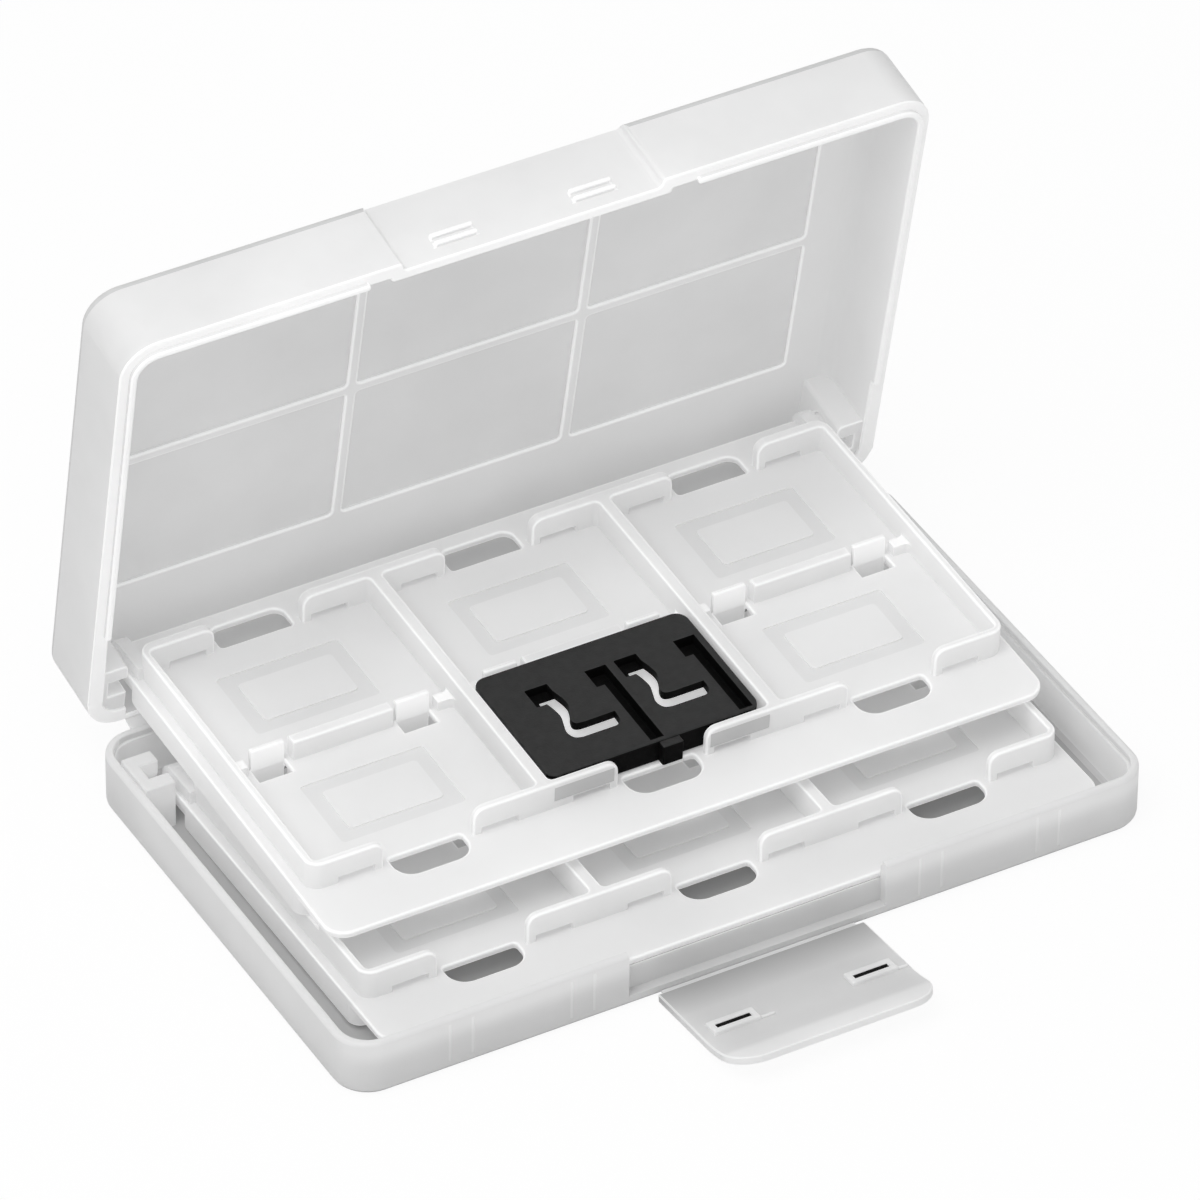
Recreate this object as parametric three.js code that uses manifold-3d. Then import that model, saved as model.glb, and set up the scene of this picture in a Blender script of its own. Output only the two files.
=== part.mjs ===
// Game card case: a hinged case with two turning card trays, a latch flap and a memory card insert.
import * as THREE from 'three';
import { mergeVertices } from 'three/addons/utils/BufferGeometryUtils.js';
import Module from 'manifold-3d';

const wasm = await Module();
wasm.setup();

// Sizes are millimetres. +X is the width, -Y the front, +Z up, and z = 0 the underside.

// Case shell
const CASE_WIDTH = 118;
const CASE_DEPTH = 71.5;
const BASE_HEIGHT = 8.45;
const LID_HEIGHT = 11.65;
const RIM_GAP = 0.3;
const CORNER_RADIUS = 5;
const EDGE_RADIUS = 1.1;
const WALL = 1.5;
const FLOOR = 1;
const RIB_LEVEL = 1.5;
const LID_REAR_WALL = 0.9;
const PANEL_THICKNESS = 0.9;
const RIB_WIDTH = 1.8;
const LIP_THICKNESS = 0.6;
const LIP_HEIGHT = 0.8;
const LIP_CLEARANCE = 0.3;
const RIM_LAND = 0.55;
const LIP_REAR_STOP = 18;

// Front recess for the latch, on the base and on the lid
const RECESS_HALF_WIDTH = 18.9;
const RECESS_DEPTH = 1.4;
const RECESS_LEDGE = 1.7;
const LIP_FRONT_GAP = 5;

// Hinge of the lid
const HINGE_SETBACK = 0.73;
const HINGE_DROP = 0.81;
const LID_ANGLE = 79.2;
const STRIP_THICKNESS = 0.4;
const STRIP_CLEARANCE = 0.06;
const STRIP_LEAF = 1.3;
const STRIP_END_INSET = 1;

// Card trays
const COLUMNS = 3;
const ROWS = 2;
const SIDE_ROOM = 5.3;
const PIVOT_SETBACK = 7.45;
const DIVIDER = 1.8;
const MIDDLE_WALL = 1.6;
const END_WALL = 1.5;
const PLATE = 1;
const WALL_RISE = 3.1;
const PIVOT_TO_POCKET = 5.1;
const PLATE_BEHIND_PIVOT = 1.8;
const LEDGE = 8.95;
const LEDGE_CORNER = 3;
const WALL_CORNER = 2;
const ARM_RADIUS = 2.4;
const PIN_RADIUS = 1.5;
const PIN_LENGTH = 3.2;

// Openings of each pocket
const HOLE_HALF_WIDTH = 5.35;
const HOLE_LENGTH = 4.1;
const HOLE_OFFSET = 0.3;
const HOLE_CORNER = 2.6;
const WALL_GAP_HALF_WIDTH = 6.5;
const WALL_SLOT_NEAR = 7.7;
const WALL_SLOT_LENGTH = 5.4;
const WALL_SLOT_HEIGHT = 1;
const TAB_NEAR = 8.2;
const TAB_WIDTH = 4.8;
const TAB_THICKNESS = 0.8;
const TAB_GAP = 0.9;
const WINDOW_DEPTH = 2.5;
const LOW_WALL_RISE = 1.5;
const RING_WIDTH = 16.8;
const RING_DEPTH = 11.1;
const RING_BAND = 3;
const RING_CUT = 0.3;

// Places of the trays
const TRAY_FLOOR_CLEARANCE = 0.3;
const TRAY_FRONT_CLEARANCE = 0.4;
const TRAY_STACK_GAP = 1.67;
const TRAY_REST_GAP = 0.38;
const UPPER_SETBACK = 2.72;
const LOWER_TILT = 0.57;

// Pivot ears on the base and the lid
const EAR_GAP = 1;
const EAR_FRONT = 3.6;
const EAR_REAR = 3.7;
const EAR_TOP_CLEARANCE = 0.15;
const PIN_CLEARANCE = 0.3;
const PIN_END_CLEARANCE = 0.5;
const SNAP_SLOT = 2.7;
const LID_EAR_LIFT = 0.5;

// Latch flap
const FLAP_WIDTH = 30.4;
const FLAP_LENGTH = 14.5;
const FLAP_THICKNESS = 1.2;
const FLAP_LIP = 6.8;
const FLAP_LIP_TURN = 13;
const FLAP_CORNER = 4.5;
const FLAP_ANGLE = 84;
const FLAP_FACE_CLEARANCE = 0.3;
const FLAP_AXIS_DEPTH = 0.25;
const FLAP_AXIS_HEIGHT = 0.95;
const FLAP_ROOT = 0.35;
const SLIT_SPACING = 20.2;
const SLIT_LENGTH = 5;
const SLIT_HEIGHT = 0.8;
const SLIT_FROM_AXIS = 10.95;
const SLIT_FRAME = 0.9;
const SLIT_FRAME_RISE = 0.5;

// Catch ribs on the lid
const CATCH_LENGTH = 6.2;
const CATCH_THICKNESS = 0.6;
const CATCH_PITCH = 1.4;
const CATCH_RISE = 0.7;

// Memory card insert
const INSERT_SIDE_CLEARANCE = 0.5;
const INSERT_END_CLEARANCE = 0.275;
const INSERT_THICKNESS = 3.3;
const INSERT_CORNER = 1.8;
const INSERT_LIFT = 0.3;
const BAY_PITCH = 13.2;
const BAY_RECESS_X = -10.1;
const BAY_RECESS_Y = 5.8;
const BAY_RECESS_WIDTH = 3;
const BAY_RECESS_DEPTH = 3;
const BAY_CUT = 2;
const TONGUE_SLOT = 1.9;
const GUIDE_X = -0.5;
const GUIDE_WIDTH = 2.1;
const GUIDE_HEAD = 1.1;
const STOP_WIDTH = 3;
const STOP_LENGTH = 1.2;
const STOP_HEIGHT = 2.4;

// Rounding steps and the grid that points lie on
const ARC_STEPS = 6;
const GRID = 1e-4;

const radians = THREE.MathUtils.degToRad;

// Makes a closed solid of a geometry, with its points on a fine grid so that equal places meet
function solid(geometry) {
  const plain = geometry.index ? geometry.toNonIndexed() : geometry.clone();
  plain.deleteAttribute('normal');
  plain.deleteAttribute('uv');
  const merged = mergeVertices(plain, 1e-4);
  return new wasm.Manifold(new wasm.Mesh({
    numProp: 3,
    vertProperties: Float32Array.from(merged.attributes.position.array, (v) => Math.round(v / GRID) * GRID),
    triVerts: Uint32Array.from(merged.index.array),
  }));
}

// Turns a solid back into a flat-shaded geometry
function geometryOf(body) {
  const mesh = body.getMesh();
  const geometry = new THREE.BufferGeometry();
  geometry.setAttribute('position', new THREE.BufferAttribute(Float32Array.from(mesh.vertProperties), 3));
  geometry.setIndex(new THREE.BufferAttribute(Uint32Array.from(mesh.triVerts), 1));
  const flat = geometry.toNonIndexed();
  flat.computeVertexNormals();
  return flat;
}

function addAll(first, others) {
  return others.reduce((sum, other) => sum.add(other), first);
}

function cutAll(first, others) {
  return others.reduce((rest, other) => rest.subtract(other), first);
}

// Box between two corners
function block(x0, x1, y0, y1, z0, z1) {
  const geometry = new THREE.BoxGeometry(x1 - x0, y1 - y0, z1 - z0);
  geometry.translate((x0 + x1) / 2, (y0 + y1) / 2, (z0 + z1) / 2);
  return solid(geometry);
}

// Outline drawn in x and y, raised from z0 to z1
function prism(shape, z0, z1) {
  const geometry = new THREE.ExtrudeGeometry(shape, {
    depth: z1 - z0, bevelEnabled: false, curveSegments: ARC_STEPS / 2,
  });
  geometry.translate(0, 0, z0);
  return solid(geometry);
}

// Outline drawn in y and z, drawn out from x0 to x1
function sidePrism(shape, x0, x1) {
  const geometry = new THREE.ExtrudeGeometry(shape, {
    depth: x1 - x0, bevelEnabled: false, curveSegments: ARC_STEPS / 2,
  });
  geometry.translate(0, 0, x0);
  geometry.applyMatrix4(new THREE.Matrix4().makeBasis(
    new THREE.Vector3(0, 1, 0), new THREE.Vector3(0, 0, 1), new THREE.Vector3(1, 0, 0)));
  return solid(geometry);
}

// Outline drawn in x and z, drawn out from y1 down to y0
function frontPrism(shape, y0, y1) {
  const geometry = new THREE.ExtrudeGeometry(shape, {
    depth: y1 - y0, bevelEnabled: false, curveSegments: ARC_STEPS / 2,
  });
  geometry.applyMatrix4(new THREE.Matrix4().makeBasis(
    new THREE.Vector3(1, 0, 0), new THREE.Vector3(0, 0, 1), new THREE.Vector3(0, -1, 0)));
  geometry.translate(0, y1, 0);
  return solid(geometry);
}

function polygon(points) {
  return new THREE.Shape(points.map(([a, b]) => new THREE.Vector2(a, b)));
}

// Rectangle with its own radius at each corner, from lower left, anticlockwise
function roundedShape(x0, x1, y0, y1, [r0, r1, r2, r3]) {
  const shape = new THREE.Shape();
  shape.moveTo(x0 + r0, y0);
  shape.lineTo(x1 - r1, y0);
  if (r1 > 0) shape.absarc(x1 - r1, y0 + r1, r1, -Math.PI / 2, 0, false);
  shape.lineTo(x1, y1 - r2);
  if (r2 > 0) shape.absarc(x1 - r2, y1 - r2, r2, 0, Math.PI / 2, false);
  shape.lineTo(x0 + r3, y1);
  if (r3 > 0) shape.absarc(x0 + r3, y1 - r3, r3, Math.PI / 2, Math.PI, false);
  shape.lineTo(x0, y0 + r0);
  if (r0 > 0) shape.absarc(x0 + r0, y0 + r0, r0, Math.PI, 1.5 * Math.PI, false);
  return shape;
}

// Points of the case outline, moved inwards by inset
function caseOutline(inset) {
  const halfX = CASE_WIDTH / 2 - CORNER_RADIUS;
  const halfY = CASE_DEPTH / 2 - CORNER_RADIUS;
  const radius = CORNER_RADIUS - inset;
  const points = [];
  for (let corner = 0; corner < 4; corner += 1) {
    const sideX = corner === 0 || corner === 3 ? 1 : -1;
    const sideY = corner < 2 ? 1 : -1;
    for (let step = 0; step <= ARC_STEPS; step += 1) {
      const angle = (corner + step / ARC_STEPS) * Math.PI / 2;
      points.push([sideX * halfX + radius * Math.cos(angle), sideY * halfY + radius * Math.sin(angle)]);
    }
  }
  return points;
}

// Solid through case outlines at rising heights
function caseLoft(sections) {
  const positions = [];
  const faces = [];
  const count = caseOutline(0).length;
  for (const { inset, z } of sections) {
    for (const [x, y] of caseOutline(inset)) positions.push(x, y, z);
  }
  for (let level = 0; level + 1 < sections.length; level += 1) {
    for (let i = 0; i < count; i += 1) {
      const a = level * count + i;
      const b = level * count + (i + 1) % count;
      faces.push(a, b, b + count, a, b + count, a + count);
    }
  }
  const top = (sections.length - 1) * count;
  for (let i = 1; i + 1 < count; i += 1) {
    faces.push(0, i + 1, i);
    faces.push(top, top + i, top + i + 1);
  }
  const geometry = new THREE.BufferGeometry();
  geometry.setAttribute('position', new THREE.BufferAttribute(new Float32Array(positions), 3));
  geometry.setIndex(faces);
  return solid(geometry);
}

// Sections of a rounded lower edge
function roundedEdge(z, direction) {
  const steps = 3;
  return Array.from({ length: steps + 1 }, (_, step) => {
    const angle = step / steps * Math.PI / 2;
    return {
      inset: EDGE_RADIUS * (1 - Math.sin(angle)),
      z: z + direction * EDGE_RADIUS * (1 - Math.cos(angle)),
    };
  });
}

// Places that several pieces share
const HALF_WIDTH = CASE_WIDTH / 2;
const FRONT = -CASE_DEPTH / 2;
const REAR = CASE_DEPTH / 2;
const LID_RIM = BASE_HEIGHT + RIM_GAP;
const LID_TOP = LID_RIM + LID_HEIGHT;
const HINGE_Y = REAR + HINGE_SETBACK;
const HINGE_Z = BASE_HEIGHT - HINGE_DROP;
const TRAY_HALF_WIDTH = HALF_WIDTH - WALL - SIDE_ROOM;
const PITCH = (2 * TRAY_HALF_WIDTH - DIVIDER) / COLUMNS;
const POCKET_WIDTH = PITCH - DIVIDER;
const POCKET_DEPTH = (CASE_DEPTH - 2 * WALL - TRAY_FRONT_CLEARANCE - PIVOT_SETBACK
  - PIVOT_TO_POCKET - MIDDLE_WALL - END_WALL - LEDGE) / ROWS;
const INSERT_WIDTH = POCKET_WIDTH - 2 * INSERT_SIDE_CLEARANCE;
const INSERT_DEPTH = POCKET_DEPTH - 2 * INSERT_END_CLEARANCE;
const HALF_PLATE = PLATE / 2;
const HALF_TRAY = HALF_PLATE + WALL_RISE;
const ROW_PITCH = POCKET_DEPTH + MIDDLE_WALL;
const FRONT_WALL_IN = PIVOT_TO_POCKET + ROW_PITCH + POCKET_DEPTH;
const FRONT_WALL_OUT = FRONT_WALL_IN + END_WALL;
const REAR_WALL_OUT = PIVOT_TO_POCKET - END_WALL;
const LEDGE_END = FRONT_WALL_OUT + LEDGE;
const LOWER_Y = REAR - WALL - PIVOT_SETBACK;
const LOWER_Z = FLOOR + TRAY_FLOOR_CLEARANCE + HALF_TRAY;
const UPPER_Y = LOWER_Y + UPPER_SETBACK;
const UPPER_Z = LOWER_Z + 2 * HALF_TRAY + TRAY_STACK_GAP;
const EAR_IN = TRAY_HALF_WIDTH + EAR_GAP;
const EAR_OUT = HALF_WIDTH - WALL / 2;
const RECESS_FACE = FRONT + RECESS_DEPTH;
const RECESS_TOP = LOWER_Z - HALF_PLATE - TRAY_FLOOR_CLEARANCE;
const LIP_OUTER = RIM_LAND + LIP_CLEARANCE;
const FLAP_AXIS_Y = FRONT - FLAP_FACE_CLEARANCE - FLAP_AXIS_DEPTH;
const COLUMN_CENTRES = Array.from({ length: COLUMNS }, (_, i) => (i - (COLUMNS - 1) / 2) * PITCH);
const BEYOND = 1;

// Bearing for a tray pin: a bore with a narrower snap slot towards +Z or -Z
function bearing(side, y, z, slotEnd) {
  const depth = PIN_LENGTH - EAR_GAP + PIN_END_CLEARANCE;
  const bore = new THREE.CylinderGeometry(
    PIN_RADIUS + PIN_CLEARANCE, PIN_RADIUS + PIN_CLEARANCE, depth + BEYOND, 4 * ARC_STEPS);
  bore.rotateZ(Math.PI / 2);
  bore.translate(side * (EAR_IN + (depth - BEYOND) / 2), y, z);
  const near = side * (EAR_IN - BEYOND);
  const far = side * (EAR_IN + depth);
  return solid(bore).add(block(
    Math.min(near, far), Math.max(near, far), y - SNAP_SLOT / 2, y + SNAP_SLOT / 2,
    Math.min(z, slotEnd), Math.max(z, slotEnd)));
}

// Lower half of the case
function baseShell() {
  let body = caseLoft([...roundedEdge(0, 1), { inset: 0, z: BASE_HEIGHT }]);
  body = cutAll(body, [
    caseLoft([{ inset: WALL, z: FLOOR }, { inset: WALL, z: BASE_HEIGHT + BEYOND }]),
    caseLoft([
      { inset: RIM_LAND, z: BASE_HEIGHT - LIP_HEIGHT - LIP_CLEARANCE },
      { inset: RIM_LAND, z: BASE_HEIGHT + BEYOND },
    ]),
  ]);
  const backing = block(
    -RECESS_HALF_WIDTH - WALL, RECESS_HALF_WIDTH + WALL, FRONT + WALL / 2, RECESS_FACE + WALL,
    FLOOR / 2, RECESS_TOP);
  body = cutAll(body.add(backing), [
    block(-RECESS_HALF_WIDTH, RECESS_HALF_WIDTH, FRONT - BEYOND, RECESS_FACE, RECESS_LEDGE, BASE_HEIGHT + BEYOND),
    block(-RECESS_HALF_WIDTH, RECESS_HALF_WIDTH, FRONT - BEYOND, FRONT + WALL + BEYOND,
      RECESS_TOP, BASE_HEIGHT + BEYOND),
  ]);
  const earTop = BASE_HEIGHT - EAR_TOP_CLEARANCE;
  for (const side of [-1, 1]) {
    const near = Math.min(side * EAR_IN, side * EAR_OUT);
    const far = Math.max(side * EAR_IN, side * EAR_OUT);
    const ear = block(near, far, LOWER_Y - EAR_FRONT, LOWER_Y + EAR_REAR, FLOOR / 2, earTop);
    const rimCut = caseLoft([
      { inset: RIM_LAND, z: BASE_HEIGHT - LIP_HEIGHT - LIP_CLEARANCE },
      { inset: RIM_LAND, z: BASE_HEIGHT + BEYOND },
    ]).subtract(caseLoft([
      { inset: WALL, z: FLOOR },
      { inset: WALL, z: BASE_HEIGHT + 2 * BEYOND },
    ]));
    body = body.add(ear.subtract(rimCut)).subtract(bearing(side, LOWER_Y, LOWER_Z, BASE_HEIGHT + BEYOND));
  }
  return geometryOf(body);
}

// Upper half of the case, drawn closed and then moved to the hinge axis
function lidShell() {
  const innerTop = LID_TOP - RIB_LEVEL;
  let body = caseLoft([{ inset: 0, z: LID_RIM }, ...roundedEdge(LID_TOP, -1).reverse()]);
  const lip = caseLoft([{ inset: LIP_OUTER, z: LID_RIM - LIP_HEIGHT }, { inset: LIP_OUTER, z: LID_RIM + BEYOND }])
    .subtract(block(-HALF_WIDTH, HALF_WIDTH, LIP_REAR_STOP, REAR, 0, LID_TOP))
    .subtract(block(-RECESS_HALF_WIDTH - LIP_FRONT_GAP, RECESS_HALF_WIDTH + LIP_FRONT_GAP,
      FRONT, 0, 0, LID_RIM));
  body = body.add(lip);
  const inside = LIP_OUTER + LIP_THICKNESS;
  body = body.subtract(caseLoft([{ inset: inside, z: LID_RIM - BEYOND }, { inset: inside, z: innerTop }]));
  body = body.subtract(block(-EAR_IN, EAR_IN, 0, REAR - LID_REAR_WALL, LID_RIM - BEYOND, innerTop));
  const backing = block(
    -RECESS_HALF_WIDTH - WALL, RECESS_HALF_WIDTH + WALL, FRONT + WALL / 2, RECESS_FACE + WALL, LID_RIM, innerTop + WALL / 4);
  body = body.add(backing).subtract(block(
    -RECESS_HALF_WIDTH, RECESS_HALF_WIDTH, FRONT - BEYOND, RECESS_FACE, LID_RIM - BEYOND, LID_TOP + BEYOND));
  for (const column of COLUMN_CENTRES) {
    for (const row of [-1, 1]) {
      const y = row * ROW_PITCH / 2;
      body = body.subtract(block(
        column - (PITCH - RIB_WIDTH) / 2, column + (PITCH - RIB_WIDTH) / 2,
        y - (ROW_PITCH - RIB_WIDTH) / 2, y + (ROW_PITCH - RIB_WIDTH) / 2, innerTop - BEYOND, LID_TOP - PANEL_THICKNESS));
    }
  }
  const earBottom = LID_RIM + LID_EAR_LIFT;
  for (const side of [-1, 1]) {
    const near = Math.min(side * EAR_IN, side * EAR_OUT);
    const far = Math.max(side * EAR_IN, side * EAR_OUT);
    body = body.add(block(near, far, UPPER_Y - EAR_FRONT, REAR - WALL / 2, earBottom, innerTop + WALL / 4));
    body = body.subtract(bearing(side, UPPER_Y, UPPER_Z, LID_RIM - BEYOND));
    for (const order of [-1, 1]) {
      const x = side * SLIT_SPACING / 2;
      const z = FLAP_AXIS_HEIGHT + SLIT_FROM_AXIS + order * CATCH_PITCH / 2;
      body = body.add(block(
        x - CATCH_LENGTH / 2, x + CATCH_LENGTH / 2, RECESS_FACE - CATCH_RISE, RECESS_FACE + WALL / 2,
        z - CATCH_THICKNESS / 2, z + CATCH_THICKNESS / 2));
    }
  }
  return geometryOf(body.translate([0, -HINGE_Y, -HINGE_Z]));
}

// Finger hole with its straight edge towards the pocket
function fingerHole(column, edge, outwards) {
  const corners = outwards < 0 ? [HOLE_CORNER, HOLE_CORNER, 0, 0] : [0, 0, HOLE_CORNER, HOLE_CORNER];
  const y0 = Math.min(edge, edge + outwards * HOLE_LENGTH);
  const y1 = Math.max(edge, edge + outwards * HOLE_LENGTH);
  return prism(
    roundedShape(column - HOLE_HALF_WIDTH, column + HOLE_HALF_WIDTH, y0, y1, corners), -HALF_TRAY, HALF_TRAY);
}

// Card tray with six pockets on each face, drawn about its pivot axis
function cardTray() {
  const plate = prism(roundedShape(
    -TRAY_HALF_WIDTH, TRAY_HALF_WIDTH, -LEDGE_END, PLATE_BEHIND_PIVOT, [LEDGE_CORNER, LEDGE_CORNER, 1, 1]),
  -HALF_PLATE, HALF_PLATE);
  let walls = prism(roundedShape(
    -TRAY_HALF_WIDTH, TRAY_HALF_WIDTH, -FRONT_WALL_OUT, -REAR_WALL_OUT,
    [WALL_CORNER, WALL_CORNER, WALL_CORNER, WALL_CORNER]), -HALF_TRAY, HALF_TRAY);
  const both = (x0, x1, y0, y1, near, far) => block(x0, x1, y0, y1, near, far).add(block(x0, x1, y0, y1, -far, -near));
  const over = HALF_TRAY + BEYOND;
  const cuts = [];
  for (const column of COLUMN_CENTRES) {
    const left = column - POCKET_WIDTH / 2;
    const right = column + POCKET_WIDTH / 2;
    for (let row = 0; row < ROWS; row += 1) {
      const back = -PIVOT_TO_POCKET - row * ROW_PITCH;
      const front = back - POCKET_DEPTH;
      cuts.push(both(left, right, front, back, HALF_PLATE, over));
      const middle = (front + back) / 2;
      const ring = (width, depth) => both(
        column - width / 2, column + width / 2, middle - depth / 2, middle + depth / 2, HALF_PLATE - RING_CUT, HALF_PLATE + RING_CUT);
      cuts.push(ring(RING_WIDTH, RING_DEPTH).subtract(ring(RING_WIDTH - 2 * RING_BAND, RING_DEPTH - 2 * RING_BAND)));
    }
    for (const y of [-FRONT_WALL_IN, -REAR_WALL_OUT]) {
      cuts.push(both(column - WALL_GAP_HALF_WIDTH, column + WALL_GAP_HALF_WIDTH, y - END_WALL - BEYOND, y + BEYOND,
        HALF_PLATE, over));
      for (const side of [-1, 1]) {
        const near = column + side * WALL_SLOT_NEAR;
        const far = column + side * (WALL_SLOT_NEAR + WALL_SLOT_LENGTH);
        cuts.push(both(Math.min(near, far), Math.max(near, far), y - END_WALL - BEYOND, y + BEYOND,
          HALF_PLATE, HALF_PLATE + WALL_SLOT_HEIGHT));
      }
    }
    const wallBack = -PIVOT_TO_POCKET - POCKET_DEPTH;
    const wallFront = wallBack - MIDDLE_WALL;
    const tabFar = TAB_NEAR + TAB_WIDTH;
    for (const side of [-1, 1]) {
      const span = (a, b, y0, y1, near, far) => both(
        Math.min(column + side * a, column + side * b), Math.max(column + side * a, column + side * b), y0, y1, near, far);
      cuts.push(span(TAB_NEAR - TAB_GAP, TAB_NEAR, wallFront - BEYOND, wallBack + BEYOND, HALF_PLATE, over));
      cuts.push(span(tabFar, tabFar + TAB_GAP, wallFront - BEYOND, wallBack + BEYOND, HALF_PLATE, over));
      cuts.push(span(tabFar, POCKET_WIDTH / 2, wallFront - BEYOND, wallBack + BEYOND, HALF_PLATE + LOW_WALL_RISE, over));
      cuts.push(span(TAB_NEAR, tabFar, wallBack - TAB_THICKNESS - WINDOW_DEPTH, wallBack - TAB_THICKNESS, 0, over));
    }
    cuts.push(fingerHole(column, -FRONT_WALL_IN - HOLE_OFFSET, -1));
    cuts.push(fingerHole(column, -PIVOT_TO_POCKET + HOLE_OFFSET, 1));
  }
  let body = cutAll(walls.add(plate), cuts);
  for (const side of [-1, 1]) {
    const near = Math.min(side * TRAY_HALF_WIDTH, side * (TRAY_HALF_WIDTH - DIVIDER));
    const far = Math.max(side * TRAY_HALF_WIDTH, side * (TRAY_HALF_WIDTH - DIVIDER));
    const arm = new THREE.CylinderGeometry(ARM_RADIUS, ARM_RADIUS, DIVIDER, 4 * ARC_STEPS);
    arm.rotateZ(Math.PI / 2);
    arm.translate((near + far) / 2, 0, 0);
    const pin = new THREE.CylinderGeometry(PIN_RADIUS, PIN_RADIUS, PIN_LENGTH + DIVIDER / 2, 4 * ARC_STEPS);
    pin.rotateZ(Math.PI / 2);
    pin.translate(side * (TRAY_HALF_WIDTH + (PIN_LENGTH - DIVIDER / 2) / 2), 0, 0);
    body = addAll(body, [
      solid(arm),
      block(near, far, -REAR_WALL_OUT - WALL_CORNER, 0, -ARM_RADIUS, ARM_RADIUS),
      solid(pin),
    ]);
  }
  return geometryOf(body);
}

// Latch flap, drawn closed about its own hinge axis
function latchFlap() {
  const inner = FLAP_AXIS_DEPTH;
  const outer = inner - FLAP_THICKNESS;
  const turn = radians(FLAP_LIP_TURN);
  const tipY = FLAP_LIP * Math.sin(turn);
  const tipZ = FLAP_LENGTH + FLAP_LIP * Math.cos(turn);
  const bend = FLAP_THICKNESS * Math.tan(turn / 2);
  const profile = polygon([
    [inner, FLAP_ROOT],
    [inner, FLAP_LENGTH],
    [inner + tipY, tipZ],
    [inner + tipY - FLAP_THICKNESS * Math.cos(turn), tipZ + FLAP_THICKNESS * Math.sin(turn)],
    [outer, FLAP_LENGTH + bend],
    [outer, FLAP_ROOT],
  ]);
  let body = sidePrism(profile, -FLAP_WIDTH / 2, FLAP_WIDTH / 2);
  const endZ = tipZ + FLAP_THICKNESS * Math.sin(turn);
  const outline = roundedShape(-FLAP_WIDTH / 2, FLAP_WIDTH / 2, 0, endZ, [0, 0, FLAP_CORNER, FLAP_CORNER]);
  body = body.intersect(frontPrism(outline, -FLAP_LENGTH, FLAP_LENGTH));
  for (const side of [-1, 1]) {
    const x = side * SLIT_SPACING / 2;
    const frameX = SLIT_LENGTH / 2 + SLIT_FRAME;
    const frameZ = SLIT_HEIGHT / 2 + SLIT_FRAME;
    body = body.add(block(x - frameX, x + frameX, inner - FLAP_THICKNESS / 2, inner + SLIT_FRAME_RISE,
      SLIT_FROM_AXIS - frameZ, SLIT_FROM_AXIS + frameZ));
    body = body.subtract(block(x - SLIT_LENGTH / 2, x + SLIT_LENGTH / 2, outer - BEYOND, inner + BEYOND,
      SLIT_FROM_AXIS - SLIT_HEIGHT / 2, SLIT_FROM_AXIS + SLIT_HEIGHT / 2));
  }
  return geometryOf(body);
}

// Thin band of the given thickness along a line drawn in y and z
function band(points, thickness, halfWidth) {
  const line = points.map(([y, z]) => new THREE.Vector2(y, z));
  const normals = line.map((point, i) => {
    const before = line[Math.max(i - 1, 0)];
    const after = line[Math.min(i + 1, line.length - 1)];
    const along = after.clone().sub(before).normalize();
    return new THREE.Vector2(-along.y, along.x);
  });
  const left = line.map((point, i) => point.clone().addScaledVector(normals[i], thickness / 2));
  const right = line.map((point, i) => point.clone().addScaledVector(normals[i], -thickness / 2));
  return sidePrism(new THREE.Shape([...right, ...left.reverse()]), -halfWidth, halfWidth);
}

// Living hinge between the base's rear face and the lid's rear face
function lidHingeStrip() {
  const angle = radians(LID_ANGLE);
  const off = STRIP_CLEARANCE + STRIP_THICKNESS / 2;
  const onLid = (s, t) => [
    HINGE_Y - s * Math.cos(angle) + t * Math.sin(angle),
    HINGE_Z + s * Math.sin(angle) + t * Math.cos(angle),
  ];
  const lidStart = HINGE_DROP + RIM_GAP + STRIP_THICKNESS;
  const start = [REAR + off, BASE_HEIGHT - HINGE_DROP - STRIP_LEAF];
  const bendLow = [REAR + off, BASE_HEIGHT - HINGE_DROP];
  const bendHigh = onLid(HINGE_SETBACK - off, lidStart);
  const middle = [(bendLow[0] + bendHigh[0]) / 2 + STRIP_THICKNESS / 2, (bendLow[1] + bendHigh[1]) / 2 - STRIP_THICKNESS / 2];
  const end = onLid(HINGE_SETBACK - off, lidStart + STRIP_LEAF);
  return geometryOf(band(
    [start, bendLow, middle, bendHigh, end], STRIP_THICKNESS, HALF_WIDTH - CORNER_RADIUS - STRIP_END_INSET));
}

// Living hinge between the base's front ledge and the latch flap
function latchHingeStrip() {
  const angle = radians(FLAP_ANGLE);
  const rootY = FLAP_AXIS_Y - FLAP_ROOT * Math.sin(angle) + (FLAP_AXIS_DEPTH - FLAP_THICKNESS / 2) * Math.cos(angle);
  const rootZ = FLAP_AXIS_HEIGHT + FLAP_ROOT * Math.cos(angle) + (FLAP_AXIS_DEPTH - FLAP_THICKNESS / 2) * Math.sin(angle);
  return geometryOf(band(
    [[FRONT - STRIP_CLEARANCE, rootZ], [(FRONT + rootY) / 2, rootZ], [rootY + 2 * STRIP_CLEARANCE, rootZ]],
    STRIP_THICKNESS, FLAP_WIDTH / 2 - STRIP_END_INSET));
}

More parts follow.
